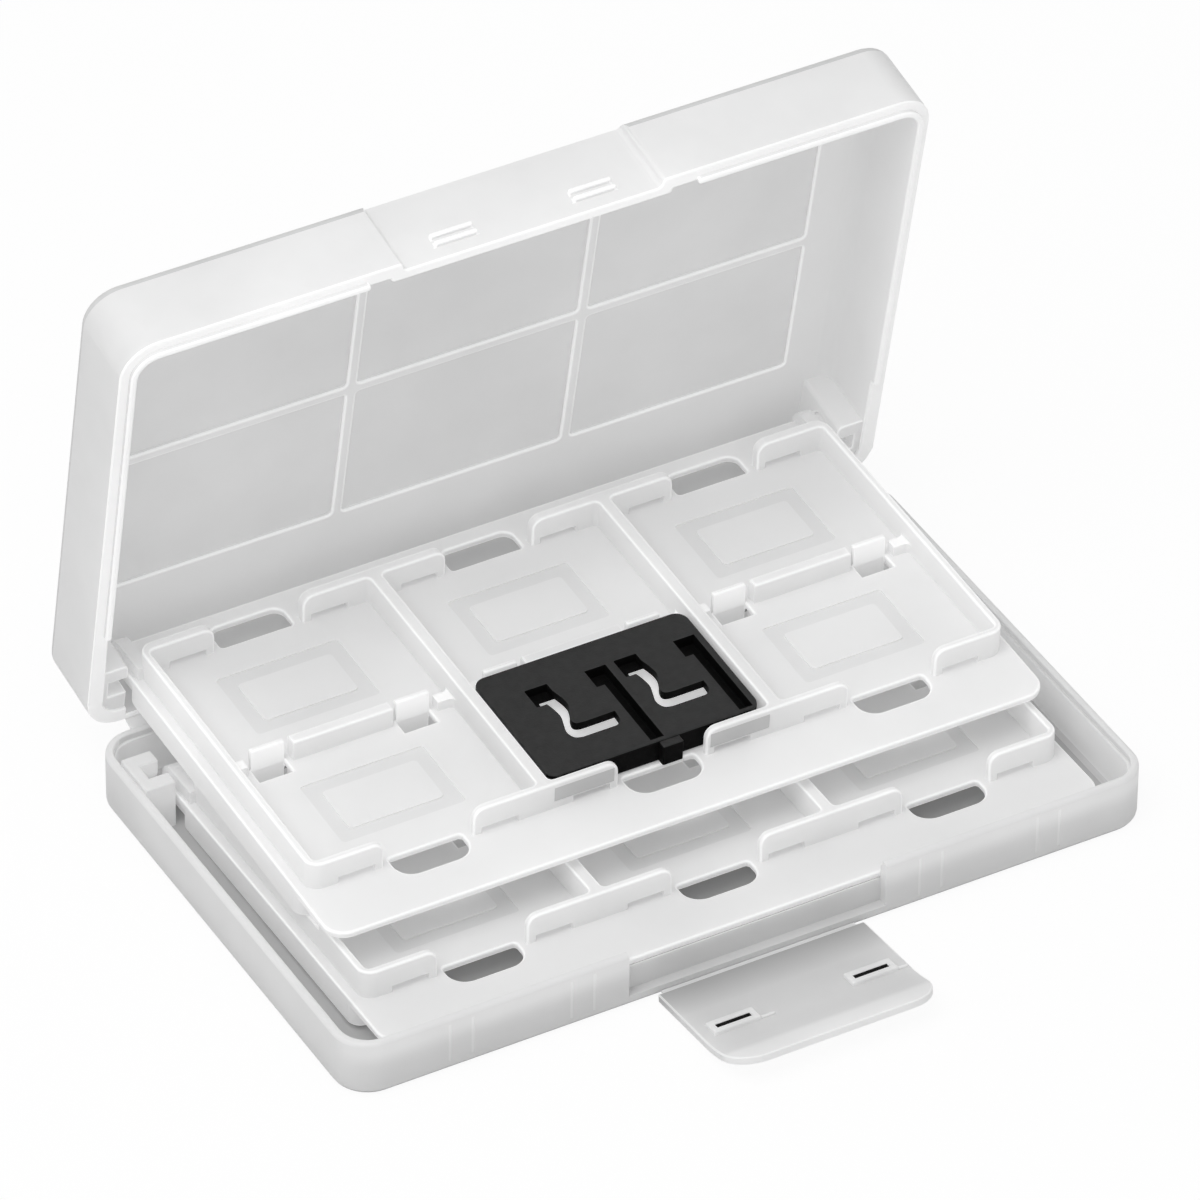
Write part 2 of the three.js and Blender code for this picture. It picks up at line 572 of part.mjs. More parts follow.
// Insert for two memory cards, drawn about the middle of its underside
function memoryCardInsert() {
  const halfX = INSERT_WIDTH / 2;
  const halfY = INSERT_DEPTH / 2;
  const corners = [INSERT_CORNER, INSERT_CORNER, INSERT_CORNER, INSERT_CORNER];
  let body = prism(roundedShape(-halfX, halfX, -halfY, halfY, corners), 0, INSERT_THICKNESS);
  body = body.add(block(GUIDE_X + TONGUE_SLOT / 2, GUIDE_X + TONGUE_SLOT / 2 + STOP_WIDTH,
    -halfY - STOP_LENGTH, -halfY + STOP_LENGTH, 0, STOP_HEIGHT));
  const floorZ = INSERT_THICKNESS - BAY_CUT;
  const top = INSERT_THICKNESS + BEYOND;
  for (const bay of [0, 1]) {
    const shift = bay * BAY_PITCH;
    const recessX = BAY_RECESS_X + shift;
    const guideX = GUIDE_X + shift;
    const legY = BAY_RECESS_Y - 3 * BAY_RECESS_DEPTH - TONGUE_SLOT / 2;
    const startX = recessX + BAY_RECESS_WIDTH - TONGUE_SLOT / 2;
    const startY = BAY_RECESS_Y - BAY_RECESS_DEPTH;
    const legX = recessX + BAY_RECESS_WIDTH / 2;
    const curve = new THREE.CubicBezierCurve(
      new THREE.Vector2(startX, startY),
      new THREE.Vector2(startX + TONGUE_SLOT / 2, startY - BAY_RECESS_DEPTH),
      new THREE.Vector2(legX - TONGUE_SLOT, startY - BAY_RECESS_DEPTH),
      new THREE.Vector2(legX + TONGUE_SLOT / 2, legY));
    const path = [...curve.getPoints(ARC_STEPS + 2), new THREE.Vector2(guideX - TONGUE_SLOT, legY)];
    const width = TONGUE_SLOT / 2;
    const sideOf = (sign) => path.map((point, i) => {
      const before = path[Math.max(i - 1, 0)];
      const after = path[Math.min(i + 1, path.length - 1)];
      const along = after.clone().sub(before).normalize();
      return new THREE.Vector2(point.x - sign * along.y * width, point.y + sign * along.x * width);
    });
    const slot = new THREE.Shape([...sideOf(-1), ...sideOf(1).reverse()]);
    body = cutAll(body, [
      prism(slot, -BEYOND, top),
      block(recessX, recessX + BAY_RECESS_WIDTH, startY, BAY_RECESS_Y, floorZ, top),
      block(guideX - GUIDE_HEAD, guideX + GUIDE_WIDTH, BAY_RECESS_Y - BAY_RECESS_DEPTH, BAY_RECESS_Y, floorZ, top),
      block(guideX, guideX + GUIDE_WIDTH, -halfY - BEYOND, BAY_RECESS_Y, floorZ, top),
    ]);
  }
  return geometryOf(body);
}

function piece(name, geometry, colour, roughness) {
  const material = new THREE.MeshStandardMaterial({ color: colour, roughness, metalness: 0 });
  const mesh = new THREE.Mesh(geometry, material);
  mesh.name = name;
  return mesh;
}

function placed(name, y, z, turn, children) {
  const group = new THREE.Group();
  group.name = name;
  group.position.set(0, y, z);
  group.rotation.x = radians(turn);
  group.add(...children);
  return group;
}

const MILKY = 0xe4e6e4;
const BLACK = 0x161616;

// The upper tray hangs on the lid's ears, so its axis turns with the lid
const lidAngle = radians(LID_ANGLE);
const upperS = HINGE_Y - UPPER_Y;
const upperT = UPPER_Z - HINGE_Z;
const upperAxisY = HINGE_Y - upperS * Math.cos(lidAngle) + upperT * Math.sin(lidAngle);
const upperAxisZ = HINGE_Z + upperS * Math.sin(lidAngle) + upperT * Math.cos(lidAngle);

// Its front edge lies on the lower tray, which gives its tilt
const lowerTilt = radians(LOWER_TILT);
const restY = upperAxisY - FRONT_WALL_OUT;
const lowerTop = LOWER_Z + HALF_TRAY / Math.cos(lowerTilt) + (LOWER_Y - restY) * Math.tan(lowerTilt);
const upperTilt = Math.asin((upperAxisZ - HALF_TRAY - lowerTop - TRAY_REST_GAP) / FRONT_WALL_OUT);

const insert = piece('memory_card_insert', memoryCardInsert(), BLACK, 0.55);
insert.position.set(0, -(PIVOT_TO_POCKET + ROW_PITCH + POCKET_DEPTH / 2), HALF_PLATE + INSERT_LIFT);

const card_case = new THREE.Group();
card_case.name = 'game_card_case';
card_case.add(
  piece('base_shell', baseShell(), MILKY, 0.4),
  piece('lid_hinge_strip', lidHingeStrip(), MILKY, 0.4),
  piece('latch_hinge_strip', latchHingeStrip(), MILKY, 0.4),
  placed('lid', HINGE_Y, HINGE_Z, -LID_ANGLE, [piece('lid_shell', lidShell(), MILKY, 0.4)]),
  placed('latch', FLAP_AXIS_Y, FLAP_AXIS_HEIGHT, FLAP_ANGLE, [piece('latch_flap', latchFlap(), MILKY, 0.4)]),
  placed('lower', LOWER_Y, LOWER_Z, -LOWER_TILT, [piece('lower_tray', cardTray(), MILKY, 0.4)]),
  placed('upper', upperAxisY, upperAxisZ, THREE.MathUtils.radToDeg(upperTilt), [piece('upper_tray', cardTray(), MILKY, 0.4), insert]),
);

export default card_case;
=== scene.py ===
import math

import bmesh
import bpy
from mathutils import Matrix, Vector


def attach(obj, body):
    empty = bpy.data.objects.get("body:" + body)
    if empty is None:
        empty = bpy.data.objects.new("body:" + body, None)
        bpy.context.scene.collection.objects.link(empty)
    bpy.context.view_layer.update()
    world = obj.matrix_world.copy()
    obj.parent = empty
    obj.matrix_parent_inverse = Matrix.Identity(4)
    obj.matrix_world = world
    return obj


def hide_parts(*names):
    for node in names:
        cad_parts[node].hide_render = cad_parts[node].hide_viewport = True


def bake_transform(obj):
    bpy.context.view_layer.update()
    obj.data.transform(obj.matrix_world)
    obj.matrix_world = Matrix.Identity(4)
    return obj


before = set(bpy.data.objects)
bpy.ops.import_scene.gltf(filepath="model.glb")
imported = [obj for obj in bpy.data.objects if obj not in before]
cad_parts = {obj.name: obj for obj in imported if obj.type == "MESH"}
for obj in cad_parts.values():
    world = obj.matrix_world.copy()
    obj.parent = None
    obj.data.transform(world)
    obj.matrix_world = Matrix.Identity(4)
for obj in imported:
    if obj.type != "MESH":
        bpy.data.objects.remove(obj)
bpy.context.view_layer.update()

MM = 0.001

# Case, in millimetres
CASE_WIDTH = 118
CASE_DEPTH = 71.5
BASE_HEIGHT = 8.45
LID_HEIGHT = 11.65
RIM_GAP = 0.3
CORNER_RADIUS = 5
EDGE_RADIUS = 1.1
LID_EDGE_RADIUS = 1.4
FLOOR_ROUND = 0.8
LID_COVE = 2.2
WALL = 1.5
FLOOR = 1
RIB_LEVEL = 1.5
LID_REAR_WALL = 0.9
PANEL_SHIFT = -0.9
PANEL_RIB_Y = -2.2
PANEL_FRONT_Y = -24.3
PANEL_REAR_Y = 21.5
PANEL_THICKNESS = 0.9
PANEL_CORNER = 0.6
RIB_WIDTH = 1.5
LIP_THICKNESS = 0.85
LIP_HEIGHT = 0.8
LIP_CLEARANCE = 0.15
RIM_LAND = 1.1
RIM_ROUND = 0.6
LIP_REAR_STOP = 18
RECESS_HALF_WIDTH = 18.9
RECESS_DEPTH = 1.4
RECESS_LEDGE = 1.7
RECESS_LIP = 0.35
RECESS_LIP_RISE = 1.25
WALL_RIBS = (25.6, 43.2)
WALL_RIB_WIDTH = 3.3
WALL_RIB_LINE = 0.4
LIP_FRONT_GAP = 5
ROLL_STEPS = 6
ROLL_SINK = 0.06
ROLL_REACH = 2
BASE_SOFT = 0.22
LID_SOFT = 0.28

# Living hinges
HINGE_SETBACK = 0.73
HINGE_DROP = 0.81
LID_ANGLE = 79.2
STRIP_THICKNESS = 0.4
STRIP_CLEARANCE = 0.06
STRIP_LEAF = 1.3
STRIP_END_INSET = 1
STRIP_BENDS = 10

# Card trays
COLUMNS = 3
ROWS = 2
SIDE_ROOM = 5.3
PIVOT_SETBACK = 7.45
DIVIDER = 1.8
MIDDLE_WALL = 1.6
END_WALL = 1.5
PLATE = 1
WALL_RISE = 3.1
TOP_RISE = 4.2
TOP_SIDE_INSET = 0.8
TOP_WALL_TRIM = 0.5
SKIRT = 0.6
HIGH_WALL_LENGTH = 12
SHADE_CUT = 0.06
SHADE_LOW = 0.1
SHADE_HIGH = 0.2
SHADE_NEAR = 0.6
SHADE_FAR = 0.3
TRAY_SOFT = 0.26
POCKET_CORNER = 0.7
PIVOT_TO_POCKET = 5.1
PLATE_BEHIND_PIVOT = 1.8
LEDGE = 8.95
LEDGE_CORNER = 3
PLATE_REAR_CORNER = 1
WALL_CORNER = 2
ARM_RADIUS = 2.4
PIN_RADIUS = 1.5
PIN_LENGTH = 3.2
HOLE_HALF_WIDTH = 5.35
HOLE_LENGTH = 4.1
HOLE_OFFSET = 0.3
HOLE_CORNER = 2.6
REAR_HOLE_CORNER = 1.6
POCKET_SIDE_CORNER = 0.5
WALL_GAP_HALF_WIDTH = 6.5
WALL_END_ROUND = 1.6
WALL_SLOT_NEAR = 7.7
WALL_SLOT_LENGTH = 5.4
WALL_SLOT_HEIGHT = 1
TAB_NEAR = 8.2
TAB_WIDTH = 4.8
TAB_THICKNESS = 0.8
TAB_GAP = 0.9
WINDOW_DEPTH = 2.5
WINDOW_RIM = 0.3
LOW_WALL_RISE = 1.5
RING_WIDTH = 18
RING_DEPTH = 12
RING_BAND = 2.1
RING_CORNER = 0.6
RING_CUT = 0.2
TRAY_FLOOR_CLEARANCE = 0.3
TRAY_FRONT_CLEARANCE = 0.4
TRAY_STACK_GAP = 1.67
UPPER_SETBACK = 2.72
LOWER_TILT = 0.57
UPPER_TILT = 3.0758
UPPER_REST_Y = 41.1972
UPPER_REST_Z = 15.6254

# Ears that carry the tray pins
EAR_GAP = 1
EAR_FRONT = 3.6
EAR_REAR = 3.7
EAR_TOP_CLEARANCE = 0.15
PIN_CLEARANCE = 0.3
PIN_END_CLEARANCE = 0.5
SNAP_SLOT = 2.7
LID_EAR_LIFT = 0.5
EAR_ROUND = 0.7
EAR_SOFT = 0.18

# Latch flap and the catches it snaps on
FLAP_WIDTH = 30.4
FLAP_LENGTH = 14.5
FLAP_THICKNESS = 1.2
FLAP_LIP = 6.8
FLAP_LIP_TURN = 13
FLAP_CORNER = 4.5
FLAP_ANGLE = 84
FLAP_FACE_CLEARANCE = 0.3
FLAP_AXIS_DEPTH = 0.25
FLAP_AXIS_HEIGHT = 0.95
FLAP_ROOT = 0.35
FLAP_BEND = 1.6
FLAP_SOFT = 0.2
SLIT_SPACING = 20.2
SLIT_LENGTH = 5
SLIT_HEIGHT = 0.8
SLIT_FROM_AXIS = 10.95
SLIT_FRAME = 0.9
SLIT_FRAME_RISE = 0.5
FRAME_FOOT = 0.1
FRAME_BELOW = 2.2
FRAME_ABOVE = 1
RIDGE_LENGTH = 2.1
RIDGE_WIDTH = 0.5
RIDGE_RISE = 0.3
RIDGE_INSET = 0.05
CATCH_LENGTH = 6.2
CATCH_THICKNESS = 0.6
CATCH_PITCH = 1.4
CATCH_RISE = 0.7

# Insert for two memory cards
INSERT_SIDE_CLEARANCE = 0.5
INSERT_END_CLEARANCE = 0.275
INSERT_THICKNESS = 3.3
INSERT_CORNER = 1.8
INSERT_EDGE = 0.25
INSERT_LIFT = 0.3
BAY_PITCH = 13.2
GUIDE_CUT = 1.6
SQUARE_CUT = 1.3
BAY_FLOOR = 0.3
INSERT_SKIRT = 1.2
INSERT_PLATE = 1.2
STOP_WIDTH = 3
STOP_LENGTH = 1.2
STOP_HEIGHT = 3.1
STOP_X = 0.45
STOP_EDGE = 0.2
NOTCH_CORNER = 0.15
DEEP = 0.1

# Bays of the insert in x and y from its middle: boxes from left to right and front to back
NOTCH = (-10.5, -7.15, 2.2, 5.7)
BAY_HOLLOW = (-9.6, -0.8, -6.6)
NOTCH_FLOORS = ((-10.8, -6.2, 4.2, 6), (-10.8, -9, 1.9, 4.5))
GUIDE_FLOOR = (-1.95, 0, 1.9, 6)
GUIDE = ((-1.65, 2.2), (-0.5, 2.2), (-0.5, -10), (1.46, -10), (1.46, 5.6), (-1.65, 5.6))
SLOT_LEFT = ((-9.2, 4.2), (-9.2, 2.9), (-8.75, 1), (-8.6, -0.7), (-9, -2.2), (-9.4, -3.8),
             (-8.95, -5.05), (-7.9, -5.45))
SLOT_END = ((-3, -5.45), (-2.3, -5.1), (-1.95, -4.3), (-1.85, -2.9))
SLOT_RIGHT = ((-6.4, -2.93), (-7.3, -2.8), (-7.75, -2.3), (-7.55, -1.3), (-6.95, -0.1),
              (-6.6, 1.2), (-6.75, 2.6), (-7.15, 4.2))

# Places that follow from the sizes
HALF_WIDTH = CASE_WIDTH / 2
FRONT = -CASE_DEPTH / 2
REAR = CASE_DEPTH / 2
LID_RIM = BASE_HEIGHT + RIM_GAP
LID_TOP = LID_RIM + LID_HEIGHT
INNER_TOP = LID_TOP - RIB_LEVEL
HINGE_Y = REAR + HINGE_SETBACK
HINGE_Z = BASE_HEIGHT - HINGE_DROP
TRAY_HALF_WIDTH = HALF_WIDTH - WALL - SIDE_ROOM
PITCH = (2 * TRAY_HALF_WIDTH - DIVIDER) / COLUMNS
POCKET_WIDTH = PITCH - DIVIDER
POCKET_DEPTH = (CASE_DEPTH - 2 * WALL - TRAY_FRONT_CLEARANCE - PIVOT_SETBACK
                - PIVOT_TO_POCKET - MIDDLE_WALL - END_WALL - LEDGE) / ROWS
INSERT_WIDTH = POCKET_WIDTH - 2 * INSERT_SIDE_CLEARANCE
INSERT_DEPTH = POCKET_DEPTH - 2 * INSERT_END_CLEARANCE
HALF_PLATE = PLATE / 2
HALF_TRAY = HALF_PLATE + WALL_RISE
TRAY_TOP = HALF_PLATE + TOP_RISE
ROW_PITCH = POCKET_DEPTH + MIDDLE_WALL
FRONT_WALL_IN = PIVOT_TO_POCKET + ROW_PITCH + POCKET_DEPTH
FRONT_WALL_OUT = FRONT_WALL_IN + END_WALL
REAR_WALL_OUT = PIVOT_TO_POCKET - END_WALL
LEDGE_END = FRONT_WALL_OUT + LEDGE
LOWER_Y = REAR - WALL - PIVOT_SETBACK
LOWER_Z = FLOOR + TRAY_FLOOR_CLEARANCE + HALF_TRAY
UPPER_Y = LOWER_Y + UPPER_SETBACK
UPPER_Z = LOWER_Z + 2 * HALF_TRAY + TRAY_STACK_GAP
EAR_IN = TRAY_HALF_WIDTH + EAR_GAP
EAR_OUT = HALF_WIDTH - WALL / 2
RECESS_FACE = FRONT + RECESS_DEPTH
RECESS_TOP = LOWER_Z - HALF_PLATE - TRAY_FLOOR_CLEARANCE
RIM_STEP = BASE_HEIGHT - LIP_HEIGHT - LIP_CLEARANCE
LIP_OUTER = RIM_LAND + LIP_CLEARANCE
LIP_INNER = LIP_OUTER + LIP_THICKNESS
FLAP_AXIS_Y = FRONT - FLAP_FACE_CLEARANCE - FLAP_AXIS_DEPTH
MIDDLE_WALL_BACK = -PIVOT_TO_POCKET - POCKET_DEPTH
MIDDLE_WALL_FRONT = MIDDLE_WALL_BACK - MIDDLE_WALL
TAB_FACE = MIDDLE_WALL_BACK - TAB_THICKNESS
TAB_FAR = TAB_NEAR + TAB_WIDTH
SEAT_Y = -PIVOT_TO_POCKET - ROW_PITCH - POCKET_DEPTH / 2
COLUMN_CENTRES = [(i - (COLUMNS - 1) / 2) * PITCH for i in range(COLUMNS)]

# Reach of a cut past the surface, closeness that counts as the same place, and merging distances
BEYOND = 1
NEAR = 0.02
TRAY_OVER = TRAY_TOP + BEYOND
DOUBLE = 0.0005
SLIVER = 0.002

# Angles that count as flat, sharp and smooth, how straight a face looks along an axis, and the axes
FLAT_ANGLE = math.radians(0.5)
SHARP_ANGLE = math.radians(35)
SMOOTH_ANGLE = math.radians(50)
STRAIGHT = 0.9
Y = 1
Z = 2


# Modelling by hand: selecting, adding, rounding, cutting and finishing

def deselect_all():
    bpy.ops.object.select_all(action="DESELECT")


def make_active(piece):
    deselect_all()
    piece.select_set(True)
    bpy.context.view_layer.objects.active = piece


def edit(piece):
    make_active(piece)
    bpy.ops.object.mode_set(mode="EDIT")


def end_edit():
    bpy.ops.object.mode_set(mode="OBJECT")


def settle():
    bpy.ops.object.transform_apply(location=True, rotation=True, scale=True)


def snap(piece):
    # Faces drawn at the same place meet exactly
    for vertex in piece.data.vertices:
        vertex.co = [round(value, 7) for value in vertex.co]
    return piece


def around(middle, half):
    return middle - half, middle + half


def block(x0, x1, y0, y1, z0, z1):
    deselect_all()
    middle = ((x0 + x1) / 2 * MM, (y0 + y1) / 2 * MM, (z0 + z1) / 2 * MM)
    size = (abs(x1 - x0) * MM, abs(y1 - y0) * MM, abs(z1 - z0) * MM)
    bpy.ops.mesh.primitive_cube_add(size=1, location=middle, scale=size)
    settle()
    return snap(bpy.context.active_object)


def rod(radius, x0, x1, y, z):
    deselect_all()
    bpy.ops.mesh.primitive_cylinder_add(
        vertices=32, radius=radius * MM, depth=abs(x1 - x0) * MM,
        location=((x0 + x1) / 2 * MM, y * MM, z * MM), rotation=(0, math.pi / 2, 0))
    settle()
    return snap(bpy.context.active_object)


def flat_curve(points, z0, z1):
    # A closed outline in x and y, filled and raised from z0 to z1
    deselect_all()
    outline = bpy.data.curves.new("outline", "CURVE")
    outline.dimensions = "2D"
    outline.fill_mode = "BOTH"
    outline.extrude = (z1 - z0) / 2 * MM
    line = outline.splines.new("POLY")
    line.points.add(len(points) - 1)
    for point, (x, y) in zip(line.points, points):
        point.co = (x * MM, y * MM, 0, 1)
    line.use_cyclic_u = True
    piece = bpy.data.objects.new("outline", outline)
    bpy.context.scene.collection.objects.link(piece)
    piece.location.z = (z0 + z1) / 2 * MM
    make_active(piece)
    bpy.ops.object.convert(target="MESH")
    piece = bpy.context.active_object
    settle()
    return snap(clean(piece, DOUBLE, flatten=False))


def select_edges(piece, test, sharper_than=None):
    # Edges whose ends pass the test and, where an angle is given, outer edges sharper than it
    edit(piece)
    bpy.ops.mesh.select_mode(type="EDGE")
    bpy.ops.mesh.select_all(action="DESELECT")
    shape = bmesh.from_edit_mesh(piece.data)
    for edge in shape.edges:
        if sharper_than is not None:
            if len(edge.link_faces) != 2 or edge.calc_face_angle_signed() < sharper_than:
                continue
        a, b = (vertex.co / MM for vertex in edge.verts)
        edge.select_set(test(a, b))
    bmesh.update_edit_mesh(piece.data)


def round_edges(piece, test, radius, steps):
    select_edges(piece, test)
    bpy.ops.mesh.bevel(offset=radius * MM, segments=steps, affect="EDGES", clamp_overlap=False)
    end_edit()
    return snap(piece)


def upright(a, b):
    return abs(a.x - b.x) < NEAR and abs(a.y - b.y) < NEAR


def upright_at(y):
    return lambda a, b: upright(a, b) and abs(a.y - y) < NEAR


def at_height(z):
    return lambda a, b: abs(a.z - z) < NEAR and abs(b.z - z) < NEAR


def slab(x0, x1, y0, y1, z0, z1, corner, steps=8):
    return round_edges(block(x0, x1, y0, y1, z0, z1), upright, corner, steps)


def case_slab(inset, z0, z1):
    half_x = HALF_WIDTH - inset
    half_y = CASE_DEPTH / 2 - inset
    return slab(-half_x, half_x, -half_y, half_y, z0, z1, CORNER_RADIUS - inset, 10)


def join(pieces):
    make_active(pieces[0])
    for piece in pieces[1:]:
        piece.select_set(True)
    if len(pieces) > 1:
        bpy.ops.object.join()
    return bpy.context.active_object


def combine(piece, tools, operation):
    tool = join(tools)
    make_active(piece)
    change = piece.modifiers.new("shape", "BOOLEAN")
    change.operation = operation
    change.solver = "EXACT"
    change.use_self = True
    change.object = tool
    bpy.ops.object.modifier_apply(modifier=change.name)
    bpy.data.objects.remove(tool, do_unlink=True)
    return piece


def cut(piece, tools):
    return combine(piece, tools, "DIFFERENCE")


def add(piece, tools):
    return combine(piece, tools, "UNION")


def clean(piece, distance=SLIVER, flatten=True):
    # Joins corners that nearly meet and, where asked, faces that lie flat together
    edit(piece)
    bpy.ops.mesh.select_all(action="SELECT")
    bpy.ops.mesh.remove_doubles(threshold=distance * MM)
    if flatten:
        bpy.ops.mesh.dissolve_limited(angle_limit=FLAT_ANGLE)
    bpy.ops.mesh.normals_make_consistent(inside=False)
    end_edit()
    return piece


def every_edge(a, b):
    return True


def soften(piece, width, test=every_edge):
    # Rounds the outer edges a little; the rounded faces take the second finish
    select_edges(piece, test, SHARP_ANGLE)
    bpy.ops.mesh.bevel(offset=width * MM, segments=2, affect="EDGES", clamp_overlap=False, material=1)
    end_edit()
    return piece


def finish_shading(piece):
    make_active(piece)
    bpy.ops.object.shade_smooth_by_angle(angle=SMOOTH_ANGLE)
    even = piece.modifiers.new("even", "WEIGHTED_NORMAL")
    even.weight = 100
    even.keep_sharp = True
    bpy.ops.object.modifier_apply(modifier=even.name)
    return piece


def place(piece, y, z, turn):
    make_active(piece)
    piece.rotation_euler = (math.radians(turn), 0, 0)
    piece.location = (0, y * MM, z * MM)
    settle()
    return piece


def rename(piece, name):
    piece.name = name
    piece.data.name = name
    return piece


def own_copy(piece, name):
    make_active(piece)
    bpy.ops.object.duplicate(linked=False)
    return rename(bpy.context.active_object, name)


def dress(piece, name, finishes):
    rename(piece, name)
    piece.data.materials.clear()
    for finish in finishes:
        piece.data.materials.append(finish)
    return piece


def paint_faces(piece, finish, test):
    index = piece.data.materials.find(finish.name)
    for face in piece.data.polygons:
        if test(face.center / MM, face.normal):
            face.material_index = index


def facing(axis, way, place_along, closeness=NEAR):
    # Faces that look one way along an axis and lie at one place on it
    return lambda c, n: n[axis] * way > STRAIGHT and abs(c[axis] - place_along) < closeness


# Finishes

def new_group(name, inputs, outputs):
    group = bpy.data.node_groups.new(name, "ShaderNodeTree")
    for label, kind, value in inputs:
        socket = group.interface.new_socket(name=label, in_out="INPUT", socket_type=kind)
        socket.default_value = value
    for label, kind in outputs:
        group.interface.new_socket(name=label, in_out="OUTPUT", socket_type=kind)
    source = group.nodes.new("NodeGroupInput")
    target = group.nodes.new("NodeGroupOutput")
    return group, source, target


def grey(level):
    return (level, level, level, 1)


def tree_of(owner):
    return owner.node_tree.nodes, owner.node_tree.links


def set_inputs(node, values):
    for label, value in values.items():
        node.inputs[label].default_value = value


def milky_cloud_group():
    # Slow cloudy tone of a milky plastic, with fine grain for its bump and gloss
    group, source, target = new_group("milky_cloud", [
        ("Thin", "NodeSocketColor", grey(0.8)),
        ("Thick", "NodeSocketColor", grey(0.9)),
        ("Cloud Scale", "NodeSocketFloat", 60),
        ("Gloss Low", "NodeSocketFloat", 0.35),
        ("Gloss High", "NodeSocketFloat", 0.5),
    ], [
        ("Color", "NodeSocketColor"),
        ("Roughness", "NodeSocketFloat"),
        ("Height", "NodeSocketFloat"),
    ])
    nodes = group.nodes
    links = group.links
    place_on_piece = nodes.new("ShaderNodeTexCoord")
    cloud = nodes.new("ShaderNodeTexNoise")
    set_inputs(cloud, {"Detail": 3, "Roughness": 0.55})
    links.new(place_on_piece.outputs["Object"], cloud.inputs["Vector"])
    links.new(source.outputs["Cloud Scale"], cloud.inputs["Scale"])
    tone = nodes.new("ShaderNodeMix")
    tone.data_type = "RGBA"
    spread = nodes.new("ShaderNodeMapRange")
    set_inputs(spread, {"From Min": 0.3, "From Max": 0.7})
    links.new(cloud.outputs["Fac"], spread.inputs["Value"])
    links.new(spread.outputs["Result"], tone.inputs[0])
    links.new(source.outputs["Thin"], tone.inputs[6])
    links.new(source.outputs["Thick"], tone.inputs[7])
    links.new(tone.outputs[2], target.inputs["Color"])
    grain = nodes.new("ShaderNodeTexNoise")
    set_inputs(grain, {"Scale": 3500, "Detail": 2})
    links.new(place_on_piece.outputs["Object"], grain.inputs["Vector"])
    links.new(grain.outputs["Fac"], target.inputs["Height"])
    gloss = nodes.new("ShaderNodeMapRange")
    links.new(cloud.outputs["Fac"], gloss.inputs["Value"])
    links.new(source.outputs["Gloss Low"], gloss.inputs["To Min"])
    links.new(source.outputs["Gloss High"], gloss.inputs["To Max"])
    links.new(gloss.outputs["Result"], target.inputs["Roughness"])
    return group


milky_cloud = milky_cloud_group()


def clouded(name, thin, thick, bump, grain_height):
    # A finish whose tone, gloss and fine grain come from the milky cloud
    finish = bpy.data.materials.new(name)
    finish.use_nodes = True
    nodes, links = tree_of(finish)
    shader = nodes["Principled BSDF"]
    cloud = nodes.new("ShaderNodeGroup")
    cloud.node_tree = milky_cloud
    set_inputs(cloud, {"Thin": grey(thin), "Thick": grey(thick)})
    links.new(cloud.outputs["Color"], shader.inputs["Base Color"])
    links.new(cloud.outputs["Roughness"], shader.inputs["Roughness"])
    grain = nodes.new("ShaderNodeBump")
    set_inputs(grain, {"Strength": bump, "Distance": grain_height})
    links.new(cloud.outputs["Height"], grain.inputs["Height"])
    links.new(grain.outputs["Normal"], shader.inputs["Normal"])
    return finish, shader, cloud


def milky_plastic(name, thin, thick, through, painted_glow=0):
    # Milky polypropylene: part of the light comes back and part goes through. Its glow is painted light,
    # an emission that lifts the plastic out of its shade.
    finish, shader, cloud = clouded(name, thin, thick, 0.05, 0.00005)
    nodes, links = tree_of(finish)
    set_inputs(shader, {"IOR": 1.49})
    if painted_glow > 0:
        set_inputs(shader, {"Emission Color": grey(1), "Emission Strength": painted_glow})
    passed = nodes.new("ShaderNodeBsdfTranslucent")
    links.new(cloud.outputs["Color"], passed.inputs["Color"])
    share = nodes.new("ShaderNodeMixShader")
    set_inputs(share, {"Fac": through})
    links.new(shader.outputs["BSDF"], share.inputs[1])
    links.new(passed.outputs["BSDF"], share.inputs[2])
    links.new(share.outputs["Shader"], nodes["Material Output"].inputs["Surface"])
    return finish


def satin_black(name, dark, light, shine):
    finish, shader, cloud = clouded(name, dark, light, 0.35, 0.00006)
    set_inputs(shader, {"Specular IOR Level": shine})
    set_inputs(cloud, {"Cloud Scale": 900, "Gloss Low": 0.42, "Gloss High": 0.6})
    return finish


def bands_along(finish, axis, start, end, levels):
    # Tone that changes along one axis of the piece, alike on both sides of its middle across X
    nodes, links = tree_of(finish)
    spot = nodes.new("ShaderNodeTexCoord")
    axes = nodes.new("ShaderNodeSeparateXYZ")
    links.new(spot.outputs["Object"], axes.inputs["Vector"])
    distance = axes.outputs[axis]
    if axis == "X":
        size = nodes.new("ShaderNodeMath")
        size.operation = "ABSOLUTE"
        links.new(distance, size.inputs[0])
        distance = size.outputs["Value"]
    along = nodes.new("ShaderNodeMapRange")
    set_inputs(along, {"From Min": start * MM, "From Max": end * MM})
    links.new(distance, along.inputs["Value"])
    shade = nodes.new("ShaderNodeValToRGB")
    bands = shade.color_ramp.elements
    bands[0].color = grey(levels[0][1])
    bands[1].color = grey(levels[-1][1])
    for place_along, level in levels[1:-1]:
        bands.new(place_along).color = grey(level)
    links.new(along.outputs["Result"], shade.inputs["Fac"])
    return shade.outputs["Color"]


def multiplied(finish, first, second):
    nodes, links = tree_of(finish)
    tone = nodes.new("ShaderNodeMix")
    tone.data_type = "RGBA"
    tone.blend_type = "MULTIPLY"
    tone.inputs[0].default_value = 1
    links.new(first, tone.inputs[6])
    links.new(second, tone.inputs[7])
    return tone.outputs[2]


def shade_colour(finish, bands):
    nodes, links = tree_of(finish)
    tone = multiplied(finish, nodes["Group"].outputs["Color"], bands)
    links.new(tone, nodes["Principled BSDF"].inputs["Base Color"])
    links.new(tone, nodes["Translucent BSDF"].inputs["Color"])
    return finish


